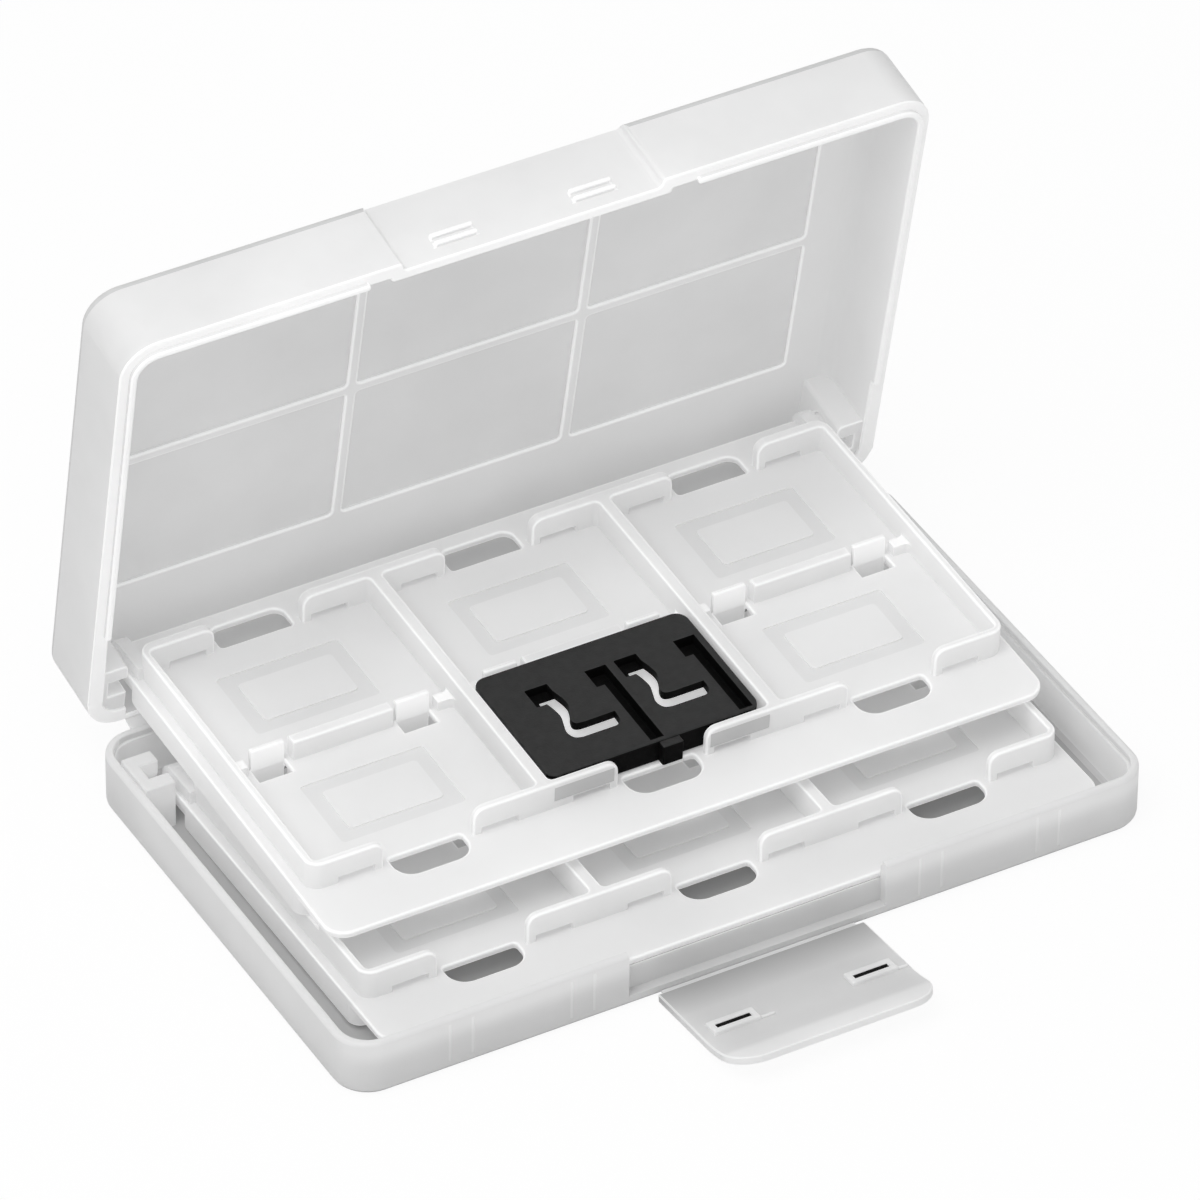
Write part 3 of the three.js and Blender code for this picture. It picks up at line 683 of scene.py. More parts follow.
def shaded_to_hinge(finish):
    # Painted shade darkens the flap towards its hinge, where it lies under the base's front, and the
    # flap is painted paler along its lip
    levels = ((0, 0.6), (0.3, 0.9), (0.6, 0.93), (0.78, 0.9), (0.83, 1), (1, 1))
    tip = FLAP_AXIS_Y - FLAP_LENGTH - FLAP_LIP
    return shade_colour(finish, bands_along(finish, "Y", FLAP_AXIS_Y, tip, levels))


def shaded_sides(finish):
    # Painted shade: the lid's end walls are a little darker than its front
    levels = ((0, 1), (1, 0.91))
    return shade_colour(finish, bands_along(finish, "X", HALF_WIDTH - CORNER_RADIUS, HALF_WIDTH, levels))


def lit_front_wall(finish):
    # Painted light: an emission stands in for light that comes through the base's front wall, most of it
    # above the tray
    levels = ((0, 0.4), (0.2, 0.22), (0.42, 0.17), (0.55, 0.26), (0.66, 0.55), (0.78, 0.9), (1, 0.85))
    height = bands_along(finish, "Z", 0, BASE_HEIGHT, levels)
    front = bands_along(finish, "Y", FRONT + CORNER_RADIUS, FRONT, ((0, 0), (1, 1)))
    shader = finish.node_tree.nodes["Principled BSDF"]
    finish.node_tree.links.new(multiplied(finish, height, front), shader.inputs["Emission Color"])
    set_inputs(shader, {"Emission Strength": 0.2})
    return finish


# The lid's plastic, with painted shade on its end walls
case_milky = shaded_sides(milky_plastic("case_milky_plastic", 0.86, 0.91, 0.45, painted_glow=0.05))
# Painted highlight: a paler, glowing copy for the lid's rounded edges and the underside of its rim
case_painted_highlight = milky_plastic("case_rounding_painted_highlight", 0.96, 0.98, 0.45, painted_glow=0.28)
case_panel = milky_plastic("case_thin_panel", 0.86, 0.9, 0.45, painted_glow=0.04)
# Painted light: a paler, glowing copy for the lid's rib tops and inner walls
case_painted_light_rib = milky_plastic("case_panel_rib_painted_light", 0.91, 0.94, 0.45, painted_glow=0.06)
# Painted shade: a darker copy for the lid's rear inner wall, seen through the rear finger holes
case_rear = milky_plastic("case_rear_wall_painted_shade", 0.78, 0.82, 0.45, painted_glow=0.02)
# Painted highlight: a paler, glowing copy for the base's rim and rounded edges
base_painted_highlight = milky_plastic("base_rounding_painted_highlight", 0.87, 0.9, 0.45, painted_glow=0.04)
# Painted shade: a darker copy for the rounding along the base's bottom edge
base_shade = milky_plastic("base_shaded_edge", 0.55, 0.6, 0.45)
# Painted shade: a darker copy for the rounding along the lid's top edge
case_shade = milky_plastic("case_shaded_edge", 0.68, 0.74, 0.45)
# The flap's plastic, with painted shade towards its hinge
flap_milky = shaded_to_hinge(milky_plastic("flap_milky_plastic", 0.89, 0.94, 0.45))
# Painted highlight: a paler, glowing copy for the flap's rounded edges and its raised slit frames
flap_painted_highlight = milky_plastic("flap_rounding_and_frame_painted_highlight", 0.92, 0.95, 0.45, painted_glow=0.1)
# Painted shadow: black for the walls of the flap's slits
flap_slit = satin_black("flap_slit_shadow", 0.02, 0.03, 0.1)
# The base's plastic, with painted light on its front wall
base_milky = lit_front_wall(milky_plastic("base_milky_plastic", 0.8, 0.85, 0.45))
# Painted light: a paler copy for the lines on the front wall where ribs behind it show through
base_rib = lit_front_wall(milky_plastic("base_wall_rib_painted_light", 0.88, 0.92, 0.45))
# Painted light: a paler, glowing copy for the base's inner walls
base_painted_light_inside = milky_plastic("base_inner_wall_painted_light", 0.9, 0.94, 0.45, painted_glow=0.1)
# Painted shade: a darker copy for the base's floor
base_floor = milky_plastic("base_shaded_floor", 0.58, 0.64, 0.3)
tray_milky = milky_plastic("tray_milky_plastic", 0.92, 0.955, 0.45, painted_glow=0.06)
# Painted highlight: a paler, strongly glowing copy for the trays' rims, low wall tops and tab faces
tray_painted_highlight = milky_plastic("tray_rim_painted_highlight", 0.97, 0.99, 0.45, painted_glow=0.26)
tray_ring = milky_plastic("tray_ring_band", 0.87, 0.91, 0.45, painted_glow=0.05)
# Painted light: a strongly glowing copy for the pocket floor under the insert
painted_light_seat = milky_plastic("insert_seat_painted_light", 0.95, 0.98, 0.45, painted_glow=0.62)
# Painted shade: a darker copy for the front wall where the black insert stands behind it
wall_shaded = milky_plastic("tray_wall_painted_shade", 0.62, 0.7, 0.3)
# Painted shade, lifted by a painted glow, for the wall seen through the tabs' windows
window_shade = milky_plastic("tray_window_shade", 0.91, 0.945, 0.45, painted_glow=0.11)
insert_black = satin_black("insert_satin_black", 0.012, 0.02, 0.32)
# Painted shade: a blacker, duller copy for the insert's cuts, hollows and front faces
insert_deep = satin_black("insert_shaded_black", 0.003, 0.005, 0.03)


# Bearing for a tray pin: a bore with a narrower snap slot up or down to slot_end

def bearing(side, y, z, slot_end):
    near = side * (EAR_IN - BEYOND)
    far = side * (EAR_IN + PIN_LENGTH - EAR_GAP + PIN_END_CLEARANCE)
    bore = rod(PIN_RADIUS + PIN_CLEARANCE, near, far, y, z)
    slot = block(near, far, *around(y, SNAP_SLOT / 2), z, slot_end)
    return [bore, slot]


# Outline of a step in a wall, from start out to high, with S-shaped sides between low and high

def stepped_outline(half_width, start, low, high):
    low -= ROLL_SINK
    roll = (high - low) / 2
    side = [(half_width + roll, start)]
    for step in range(ROLL_STEPS + 1):
        turn = step / ROLL_STEPS * math.pi / 2
        side.append((half_width + roll - roll * math.sin(turn), low + roll - roll * math.cos(turn)))
    for step in range(1, ROLL_STEPS + 1):
        turn = step / ROLL_STEPS * math.pi / 2
        side.append((half_width - roll + roll * math.cos(turn), low + roll + roll * math.sin(turn)))
    return side + [(-x, y) for x, y in reversed(side)]


# Lower half of the case

def wall_rib_lines():
    # Shallow lines on the front wall, where ribs behind it show through; their floors take a paler copy
    # of the plastic as painted light
    lines = []
    for middle in WALL_RIBS:
        for side in (-1, 1):
            for edge in (-1, 1):
                x = side * (middle + edge * WALL_RIB_WIDTH / 2)
                lines.append(block(*around(x, WALL_RIB_LINE / 2), FRONT - BEYOND, FRONT + SHADE_CUT,
                                   EDGE_RADIUS + WALL_RIB_LINE, RIM_STEP))
    return lines


def in_base_recess(point):
    across = abs(point.x) < RECESS_HALF_WIDTH + NEAR
    return across and point.y < RECESS_FACE + WALL + NEAR and point.z > NEAR


def make_base():
    shell = round_edges(case_slab(0, 0, BASE_HEIGHT), at_height(0), EDGE_RADIUS, 4)
    round_edges(shell, at_height(BASE_HEIGHT), RIM_ROUND, 4)
    hollow = case_slab(WALL, FLOOR, BASE_HEIGHT + BEYOND)
    cut(shell, [round_edges(hollow, at_height(FLOOR), FLOOR_ROUND, 3)])
    ears = []
    for side in (-1, 1):
        ears.append(block(side * EAR_IN, side * EAR_OUT, LOWER_Y - EAR_FRONT, LOWER_Y + EAR_REAR,
                          FLOOR / 2, BASE_HEIGHT - EAR_TOP_CLEARANCE))
    backing = block(-RECESS_HALF_WIDTH - WALL, RECESS_HALF_WIDTH + WALL,
                    FRONT + WALL / 2, RECESS_FACE + WALL, FLOOR / 2, RECESS_TOP)
    add(shell, ears + [backing])
    rim_step = case_slab(RIM_LAND, RIM_STEP, BASE_HEIGHT + BEYOND)
    cut(rim_step, [case_slab(WALL, FLOOR, BASE_HEIGHT + 2 * BEYOND)])
    cut(shell, [rim_step])

    # Front recess with its ledge, open above the tray, and a thin lip before the tray's edge
    over = BASE_HEIGHT + BEYOND
    cut(shell, [block(-RECESS_HALF_WIDTH, RECESS_HALF_WIDTH, FRONT - BEYOND, RECESS_FACE,
                      RECESS_LEDGE, over)])
    cut(shell, [block(-RECESS_HALF_WIDTH, RECESS_HALF_WIDTH, FRONT - BEYOND, FRONT + WALL + BEYOND,
                      RECESS_TOP, over)])
    add(shell, [block(-RECESS_HALF_WIDTH - NEAR, RECESS_HALF_WIDTH + NEAR,
                      RECESS_FACE, RECESS_FACE + RECESS_LIP,
                      RECESS_TOP - WALL / 2, RECESS_TOP + RECESS_LIP_RISE)])
    for side in (-1, 1):
        cut(shell, bearing(side, LOWER_Y, LOWER_Z, over))
    clean(shell)
    dress(shell, "case_base", [base_milky, base_painted_highlight, base_floor, base_painted_light_inside, base_shade, base_rib])
    # The softened edges take the painted highlight
    soften(shell, BASE_SOFT, lambda a, b: not (in_base_recess(a) and in_base_recess(b)))
    cut(shell, wall_rib_lines())
    # Painted light on the floors of the rib lines
    paint_faces(shell, base_rib, facing(Y, -1, FRONT + SHADE_CUT, NEAR / 4))
    # Painted shade on the floor inside and on the underside
    paint_faces(shell, base_floor, lambda c, n: abs(n.z) > STRAIGHT and c.z < FLOOR + NEAR)
    # Painted highlight on the rounding of the rim
    paint_faces(shell, base_painted_highlight, lambda c, n: n.z > 0.1 and c.z > BASE_HEIGHT - RIM_ROUND)
    # Painted shade on the rounding of the bottom edge
    paint_faces(shell, base_shade, lambda c, n: -0.98 < n.z < -0.5 and c.z < EDGE_RADIUS)
    # Painted light on the inner walls
    paint_faces(shell, base_painted_light_inside, lambda c, n: abs(n.z) < 0.5 and abs(c.x) < HALF_WIDTH - WALL + NEAR
                and RECESS_FACE + WALL - NEAR < c.y < REAR - WALL + NEAR)
    return finish_shading(shell)


# Upper half of the case, drawn closed and then opened

def lid_lip():
    lip = case_slab(LIP_OUTER, LID_RIM - LIP_HEIGHT, LID_RIM + BEYOND)
    cut(lip, [block(-HALF_WIDTH, HALF_WIDTH, LIP_REAR_STOP, REAR, 0, LID_TOP)])
    gap = RECESS_HALF_WIDTH + LIP_FRONT_GAP
    return cut(lip, [block(-gap, gap, FRONT, 0, 0, LID_RIM)])


def lid_panels():
    # Hollows that leave thin panels between the ribs
    panels = []
    half_panel = (PITCH - RIB_WIDTH) / 2
    front_row = (PANEL_FRONT_Y, PANEL_RIB_Y - RIB_WIDTH / 2)
    rear_row = (PANEL_RIB_Y + RIB_WIDTH / 2, PANEL_REAR_Y)
    for column in COLUMN_CENTRES:
        x = column + PANEL_SHIFT
        for low, high in (front_row, rear_row):
            panels.append(slab(*around(x, half_panel), low, high,
                               INNER_TOP - BEYOND, LID_TOP - PANEL_THICKNESS, PANEL_CORNER, 3))
    return panels


def lid_catches():
    # Two ribs on each side that the flap's slits snap on
    catches = []
    for side in (-1, 1):
        x = side * SLIT_SPACING / 2
        for order in (-1, 1):
            z = FLAP_AXIS_HEIGHT + SLIT_FROM_AXIS + order * CATCH_PITCH / 2
            catches.append(block(*around(x, CATCH_LENGTH / 2),
                                 RECESS_FACE - CATCH_RISE, RECESS_FACE + WALL / 2,
                                 *around(z, CATCH_THICKNESS / 2)))
    return catches


def ear_corner(a, b):
    return upright(a, b) and abs(a.x) < EAR_IN + NEAR and a.y < UPPER_Y


def on_ear(a, b):
    return min(abs(a.x), abs(b.x)) > EAR_IN - NEAR and min(a.y, b.y) > UPPER_Y - EAR_FRONT - NEAR


def on_roll(a, b):
    # The S-shaped sides of the recess near the lid's top, which stay as they are
    high = max(a.z, b.z) > LID_TOP - ROLL_REACH
    beside = min(abs(abs(a.x) - RECESS_HALF_WIDTH), abs(abs(b.x) - RECESS_HALF_WIDTH)) < RECESS_DEPTH
    return high and beside and min(a.y, b.y) < RECESS_FACE + NEAR


def paint_lid(shell):
    def inner_wall(c, n):
        within = abs(c.x) < HALF_WIDTH - LIP_INNER + NEAR
        between = FRONT + LIP_INNER - NEAR < c.y < REAR - LID_REAR_WALL + NEAR
        return n.z < 0.1 and LID_RIM + NEAR < c.z < INNER_TOP + NEAR and within and between

    paint_faces(shell, case_panel, facing(Z, -1, LID_TOP - PANEL_THICKNESS))
    # Painted light on the rib tops and the lid's inner walls
    paint_faces(shell, case_painted_light_rib, facing(Z, -1, INNER_TOP))
    paint_faces(shell, case_painted_light_rib, inner_wall)
    # Painted shade on the lid's rear inner wall
    paint_faces(shell, case_rear, facing(Y, -1, REAR - LID_REAR_WALL))
    # Painted highlight on the underside of the lid's rim
    paint_faces(shell, case_painted_highlight, lambda c, n: n.z < -STRAIGHT and c.z < LID_RIM + NEAR)
    # Painted shade on the rounding of the lid's top edge
    paint_faces(shell, case_shade, lambda c, n: 0.05 < n.z < 0.98 and c.z > LID_TOP - LID_EDGE_RADIUS)


def make_lid():
    shell = round_edges(case_slab(0, LID_RIM, LID_TOP), at_height(LID_TOP), LID_EDGE_RADIUS, 5)
    add(shell, [lid_lip()])
    hollow = case_slab(LIP_INNER, LID_RIM - BEYOND, INNER_TOP)
    cut(shell, [round_edges(hollow, at_height(INNER_TOP), LID_COVE, 7)])
    cut(shell, [block(-EAR_IN, EAR_IN, 0, REAR - LID_REAR_WALL, LID_RIM - BEYOND, INNER_TOP)])
    backing = stepped_outline(RECESS_HALF_WIDTH + WALL, FRONT + WALL / 2,
                              FRONT + LIP_INNER, RECESS_FACE + WALL)
    add(shell, [flat_curve(backing, LID_RIM, INNER_TOP + WALL / 4)])
    recess = stepped_outline(RECESS_HALF_WIDTH, FRONT - 2 * BEYOND, FRONT, RECESS_FACE)
    cut(shell, [flat_curve(recess, LID_RIM - BEYOND, LID_TOP + BEYOND)])
    cut(shell, lid_panels())
    ears = []
    for side in (-1, 1):
        ear = block(side * EAR_IN, side * HALF_WIDTH, UPPER_Y - EAR_FRONT, REAR,
                    LID_RIM + LID_EAR_LIFT, INNER_TOP + WALL / 4)
        round_edges(ear, ear_corner, EAR_ROUND, 4)
        ears.append(combine(ear, [case_slab(WALL / 2, LID_RIM, LID_TOP)], "INTERSECT"))
    add(shell, ears)
    for side in (-1, 1):
        cut(shell, bearing(side, UPPER_Y, UPPER_Z, LID_RIM - BEYOND))
    add(shell, lid_catches())
    clean(shell)
    dress(shell, "case_lid", [case_milky, case_painted_highlight, case_panel, case_painted_light_rib, case_shade, case_rear])
    paint_lid(shell)
    # The softened edges take the painted highlight
    soften(shell, LID_SOFT, lambda a, b: not on_roll(a, b) and not on_ear(a, b))
    soften(shell, EAR_SOFT, on_ear)
    finish_shading(shell)
    place(shell, -HINGE_Y, -HINGE_Z, 0)
    return place(shell, HINGE_Y, HINGE_Z, -LID_ANGLE)


# Card tray with six pockets on each face, drawn about its pivot axis

def both_faces(x0, x1, y0, y1, near, far):
    return [block(x0, x1, y0, y1, near, far), block(x0, x1, y0, y1, -far, -near)]


def tray_plate():
    half_x = TRAY_HALF_WIDTH + SKIRT
    plate = block(-half_x, half_x, -LEDGE_END, PLATE_BEHIND_PIVOT, -HALF_PLATE, HALF_PLATE)
    round_edges(plate, lambda a, b: upright(a, b) and a.y < 0, LEDGE_CORNER, 8)
    return round_edges(plate, upright_at(PLATE_BEHIND_PIVOT), PLATE_REAR_CORNER, 4)


def tray_walls():
    # Wide below the plate, where the skirt is, and narrower above it
    lower_x = TRAY_HALF_WIDTH + SKIRT
    upper_x = TRAY_HALF_WIDTH - TOP_SIDE_INSET
    walls = slab(-lower_x, lower_x, -FRONT_WALL_OUT, -REAR_WALL_OUT, -HALF_TRAY, 0, WALL_CORNER)
    return add(walls, [slab(-upper_x, upper_x, -FRONT_WALL_OUT, -REAR_WALL_OUT,
                            -HALF_PLATE / 2, TRAY_TOP, WALL_CORNER)])


def card_pockets():
    pockets = []
    for column in COLUMN_CENTRES:
        for row in range(ROWS):
            back = -PIVOT_TO_POCKET - row * ROW_PITCH
            for face in (-1, 1):
                trim = TOP_WALL_TRIM if row == ROWS - 1 and face == 1 else 0
                pockets.append(slab(*around(column, POCKET_WIDTH / 2), back - POCKET_DEPTH - trim, back,
                                    face * HALF_PLATE, face * TRAY_OVER, POCKET_CORNER, 3))
    return pockets


def wall_gaps():
    # Gaps at the finger holes, and those around the tabs and low stretches of the middle wall
    through = (MIDDLE_WALL_FRONT - BEYOND, MIDDLE_WALL_BACK + BEYOND)
    before_tab = (MIDDLE_WALL_FRONT - BEYOND, TAB_FACE)
    half_gap = TAB_GAP / 2
    stretches = (
        (TAB_NEAR - TAB_GAP, TAB_NEAR, through, HALF_PLATE),
        (TAB_FAR, TAB_FAR + TAB_GAP, through, HALF_PLATE),
        (TAB_NEAR - half_gap, TAB_FAR + half_gap, before_tab, HALF_PLATE),
        (TAB_FAR + half_gap, POCKET_WIDTH / 2, through, HALF_PLATE + LOW_WALL_RISE),
    )
    gaps = []
    for column in COLUMN_CENTRES:
        gaps.append(block(*around(column, POCKET_WIDTH / 2), *through, HALF_TRAY, TRAY_OVER))
        for y in (-FRONT_WALL_IN, -REAR_WALL_OUT):
            gaps += both_faces(*around(column, WALL_GAP_HALF_WIDTH), y - END_WALL - BEYOND, y + BEYOND,
                               HALF_PLATE, TRAY_OVER)
        for side in (-1, 1):
            for near, far, span, foot in stretches:
                gaps += both_faces(column + side * near, column + side * far, *span, foot, TRAY_OVER)
    return gaps


def finger_hole(column, edge, outwards, corner):
    far = edge + outwards * HOLE_LENGTH
    hole = block(*around(column, HOLE_HALF_WIDTH), edge, far, -HALF_TRAY - BEYOND, TRAY_OVER)
    round_edges(hole, upright_at(far), corner, 8)
    return round_edges(hole, upright_at(edge), POCKET_SIDE_CORNER, 3)


def plate_holes():
    # Finger holes and the windows under the tabs
    holes = []
    for column in COLUMN_CENTRES:
        holes.append(finger_hole(column, -FRONT_WALL_IN - HOLE_OFFSET, -1, HOLE_CORNER))
        holes.append(finger_hole(column, -PIVOT_TO_POCKET + HOLE_OFFSET, 1, REAR_HOLE_CORNER))
        for side in (-1, 1):
            holes.append(block(column + side * TAB_NEAR, column + side * TAB_FAR,
                               TAB_FACE - WINDOW_DEPTH, TAB_FACE, -HALF_PLATE, HALF_PLATE))
    return holes


def add_pivots(tray):
    for side in (-1, 1):
        near = side * (TRAY_HALF_WIDTH - DIVIDER)
        far = side * TRAY_HALF_WIDTH
        add(tray, [rod(ARM_RADIUS, near, far, 0, 0)])
        add(tray, [block(near, far, -REAR_WALL_OUT - WALL_CORNER, 0, -ARM_RADIUS, ARM_RADIUS)])
        add(tray, [rod(PIN_RADIUS, far - side * DIVIDER / 2, far + side * PIN_LENGTH, 0, 0)])


def in_end_wall(a, b):
    return max(a.y, b.y) < -FRONT_WALL_IN + NEAR or min(a.y, b.y) > -PIVOT_TO_POCKET - NEAR


def beside_hole(point, reach):
    low = WALL_GAP_HALF_WIDTH - NEAR
    high = WALL_GAP_HALF_WIDTH + reach + NEAR
    return any(low < abs(point.x - column) < high for column in COLUMN_CENTRES)


def below_top(point):
    return TRAY_TOP - point.z if point.z > 0 else HALF_TRAY + point.z


def wall_end(a, b):
    # Top corner of a wall end beside a finger hole
    level = below_top(a) < NEAR and abs(a.z - b.z) < NEAR
    return level and abs(a.x - b.x) < NEAR and in_end_wall(a, b) and beside_hole(a, 0)


def tray_rim(a, b):
    # Rims that take the painted highlight: wall tops, wall ends, holes and the outline of the plate
    if abs(a.z - b.z) < NEAR:
        if any(abs(abs(a.z) - level) < NEAR for level in (HALF_TRAY, TRAY_TOP, HALF_PLATE)):
            return True
    if min(abs(a.x), abs(b.x)) > TRAY_HALF_WIDTH + SKIRT + NEAR:
        return True
    if not in_end_wall(a, b):
        return False
    if upright(a, b):
        return beside_hole(a, 0)
    round_top = max(below_top(a), below_top(b)) < WALL_END_ROUND + NEAR
    return round_top and beside_hole(a, WALL_END_ROUND) and beside_hole(b, WALL_END_ROUND)


def foot_slots():
    slots = []
    margin = BEYOND / 4
    for column in COLUMN_CENTRES:
        for y in (-FRONT_WALL_IN, -REAR_WALL_OUT):
            for side in (-1, 1):
                near = column + side * WALL_SLOT_NEAR
                far = column + side * (WALL_SLOT_NEAR + WALL_SLOT_LENGTH)
                slots += both_faces(near, far, y - END_WALL - margin, y + margin,
                                    HALF_PLATE, HALF_PLATE + WALL_SLOT_HEIGHT)
    return slots


def window_shades():
    # Shallow cuts in the wall that is seen through each window, which take its painted shade
    shades = []
    for column in COLUMN_CENTRES:
        for side in (-1, 1):
            near = column + side * (TAB_NEAR + SHADE_CUT)
            far = column + side * (TAB_FAR - SHADE_CUT)
            shades.append(block(near, far, *around(TAB_FACE, SHADE_CUT),
                                -HALF_TRAY + WINDOW_RIM, HALF_PLATE - WINDOW_RIM))
    return shades


def floor_rings():
    rings = []
    half_x = RING_WIDTH / 2
    half_y = RING_DEPTH / 2
    for column in COLUMN_CENTRES:
        for row in range(ROWS):
            middle = -PIVOT_TO_POCKET - row * ROW_PITCH - POCKET_DEPTH / 2
            for face in (-1, 1):
                level = face * HALF_PLATE
                ring = slab(*around(column, half_x), *around(middle, half_y),
                            *around(level, RING_CUT), RING_CORNER, 3)
                hole = slab(*around(column, half_x - RING_BAND), *around(middle, half_y - RING_BAND),
                            *around(level, RING_CUT + BEYOND), RING_CORNER, 3)
                rings.append(cut(ring, [hole]))
    return rings


def make_tray():
    tray = tray_walls()
    cut(tray, card_pockets())
    cut(tray, wall_gaps())
    add(tray, [tray_plate()])
    cut(tray, plate_holes())
    add_pivots(tray)
    clean(tray)
    round_edges(tray, wall_end, WALL_END_ROUND, 5)
    dress(tray, "card_tray", [tray_milky, tray_painted_highlight, tray_ring, window_shade])
    soften(tray, TRAY_SOFT, tray_rim)
    # Painted highlight on the low wall tops and the tabs' front faces
    for face in (-1, 1):
        paint_faces(tray, tray_painted_highlight, facing(Z, face, face * (HALF_PLATE + LOW_WALL_RISE)))
    paint_faces(tray, tray_painted_highlight, facing(Y, -1, TAB_FACE))
    cut(tray, foot_slots())
    cut(tray, window_shades())
    # Painted shade, lifted by a glow, on the wall seen through the windows
    paint_faces(tray, window_shade, facing(Y, -1, TAB_FACE + SHADE_CUT))
    cut(tray, floor_rings())
    for face in (-1, 1):
        paint_faces(tray, tray_ring, facing(Z, face, face * (HALF_PLATE - RING_CUT)))
    return finish_shading(tray)


# The lower tray's walls stay low where the upper tray rests on them

def make_rest(tray):
    cut(tray, [block(-HALF_WIDTH, HALF_WIDTH, HIGH_WALL_LENGTH - FRONT_WALL_OUT, LEDGE,
                     HALF_TRAY, TRAY_OVER)])
    # Painted highlight on the lowered wall tops
    paint_faces(tray, tray_painted_highlight, facing(Z, 1, HALF_TRAY))
    return finish_shading(tray)


# Painted light on the seat that shows through the insert's slots, and painted shade on the wall in front
# of the insert

def make_seat(tray):
    half_x = INSERT_WIDTH / 2 - INSERT_CORNER
    half_y = INSERT_DEPTH / 2 - INSERT_CORNER / 2
    level = HALF_PLATE - RING_CUT
    tray.data.materials.append(painted_light_seat)
    tray.data.materials.append(wall_shaded)
    cut(tray, [block(-half_x, half_x, *around(SEAT_Y, half_y), level, HALF_PLATE + INSERT_LIFT / 2)])
    # Painted light on the seat under the insert
    paint_faces(tray, painted_light_seat, lambda c, n: facing(Z, 1, level)(c, n)
                and abs(c.x) < half_x and abs(c.y - SEAT_Y) < half_y)
    low = HALF_PLATE + WALL_SLOT_HEIGHT + SHADE_LOW
    high = HALF_PLATE + INSERT_LIFT + INSERT_THICKNESS - SHADE_HIGH
    face = SHADE_CUT - FRONT_WALL_OUT
    for side in (-1, 1):
        near = side * (WALL_GAP_HALF_WIDTH + SHADE_NEAR)
        far = side * (POCKET_WIDTH / 2 - SHADE_FAR)
        cut(tray, [block(near, far, -FRONT_WALL_OUT - BEYOND, face, low, high)])
    # Painted shade on the patches of front wall before the insert
    paint_faces(tray, wall_shaded, lambda c, n: facing(Y, -1, face, NEAR / 4)(c, n)
                and low < c.z < high and abs(c.x) < POCKET_WIDTH / 2)
    return finish_shading(tray)


# Latch flap, drawn closed about its hinge axis with its inner face towards the case

def flap_bend(a, b):
    level = abs(a.z - FLAP_LENGTH) < NEAR and abs(b.z - FLAP_LENGTH) < NEAR
    return level and abs(a.y - b.y) < NEAR


def bent_plate(inner, outer):
    # A flat plate with its end face drawn out into the turned lip
    turn = math.radians(FLAP_LIP_TURN)
    half_x = FLAP_WIDTH / 2
    plate = block(-half_x, half_x, outer, inner, FLAP_ROOT, FLAP_LENGTH)
    edit(plate)
    bpy.ops.mesh.select_mode(type="FACE")
    bpy.ops.mesh.select_all(action="DESELECT")
    shape = bmesh.from_edit_mesh(plate.data)
    for face in shape.faces:
        face.select_set(face.calc_center_median().z / MM > FLAP_LENGTH - NEAR)
    bmesh.update_edit_mesh(plate.data)
    lip = (0, FLAP_LIP * math.sin(turn) * MM, FLAP_LIP * math.cos(turn) * MM)
    bpy.ops.mesh.extrude_region_move(TRANSFORM_OT_translate={"value": lip})
    end_edit()
    round_edges(plate, flap_bend, FLAP_BEND, 5)
    tip = FLAP_LENGTH + FLAP_LIP * math.cos(turn)
    outline = block(-half_x, half_x, -FLAP_LENGTH, FLAP_LENGTH, 0, tip)
    round_edges(outline, lambda a, b: abs(a.x - b.x) < NEAR and abs(a.z - b.z) < NEAR and a.z > NEAR,
                FLAP_CORNER, 10)
    return combine(plate, [outline], "INTERSECT")


def make_flap():
    inner = FLAP_AXIS_DEPTH
    outer = inner - FLAP_THICKNESS
    flap = bent_plate(inner, outer)
    frames = []
    slits = []
    frame_x = SLIT_LENGTH / 2 + SLIT_FRAME
    frame_z = SLIT_HEIGHT / 2 + SLIT_FRAME
    frame_foot = inner - FLAP_THICKNESS / 2
    for side in (-1, 1):
        x = side * SLIT_SPACING / 2
        frames.append(block(*around(x, frame_x), frame_foot, inner + SLIT_FRAME_RISE,
                            *around(SLIT_FROM_AXIS, frame_z)))
        slits.append(block(*around(x, SLIT_LENGTH / 2), outer - BEYOND, inner + 2 * BEYOND,
                           *around(SLIT_FROM_AXIS, SLIT_HEIGHT / 2)))
        ridge_end = min(x + frame_x + RIDGE_LENGTH, FLAP_WIDTH / 2 - RIDGE_WIDTH / 2)
        ridge_top = SLIT_FROM_AXIS + frame_z
        frames.append(block(x, ridge_end, frame_foot, inner + RIDGE_RISE,
                            ridge_top - RIDGE_WIDTH, ridge_top - RIDGE_INSET))
    add(flap, frames)
    cut(flap, slits)
    clean(flap)
    dress(flap, "latch_flap_plate", [flap_milky, flap_painted_highlight, flap_slit])
    # The softened edges take the painted highlight
    soften(flap, FLAP_SOFT)
    # Painted highlight on the raised frames and ridges
    paint_faces(flap, flap_painted_highlight, lambda c, n: c.y > inner + FRAME_FOOT
                and SLIT_FROM_AXIS - FRAME_BELOW < c.z < FLAP_LENGTH - FRAME_ABOVE)
    # Painted shadow on the walls of the slits
    paint_faces(flap, flap_slit, lambda c, n: abs(n.y) < 0.1
                and abs(c.z - SLIT_FROM_AXIS) < SLIT_HEIGHT / 2 + NEAR
                and abs(abs(c.x) - SLIT_SPACING / 2) < SLIT_LENGTH / 2 + NEAR)
    finish_shading(flap)
    return place(flap, FLAP_AXIS_Y, FLAP_AXIS_HEIGHT, FLAP_ANGLE)


# Insert for two memory cards, drawn about the middle of its underside

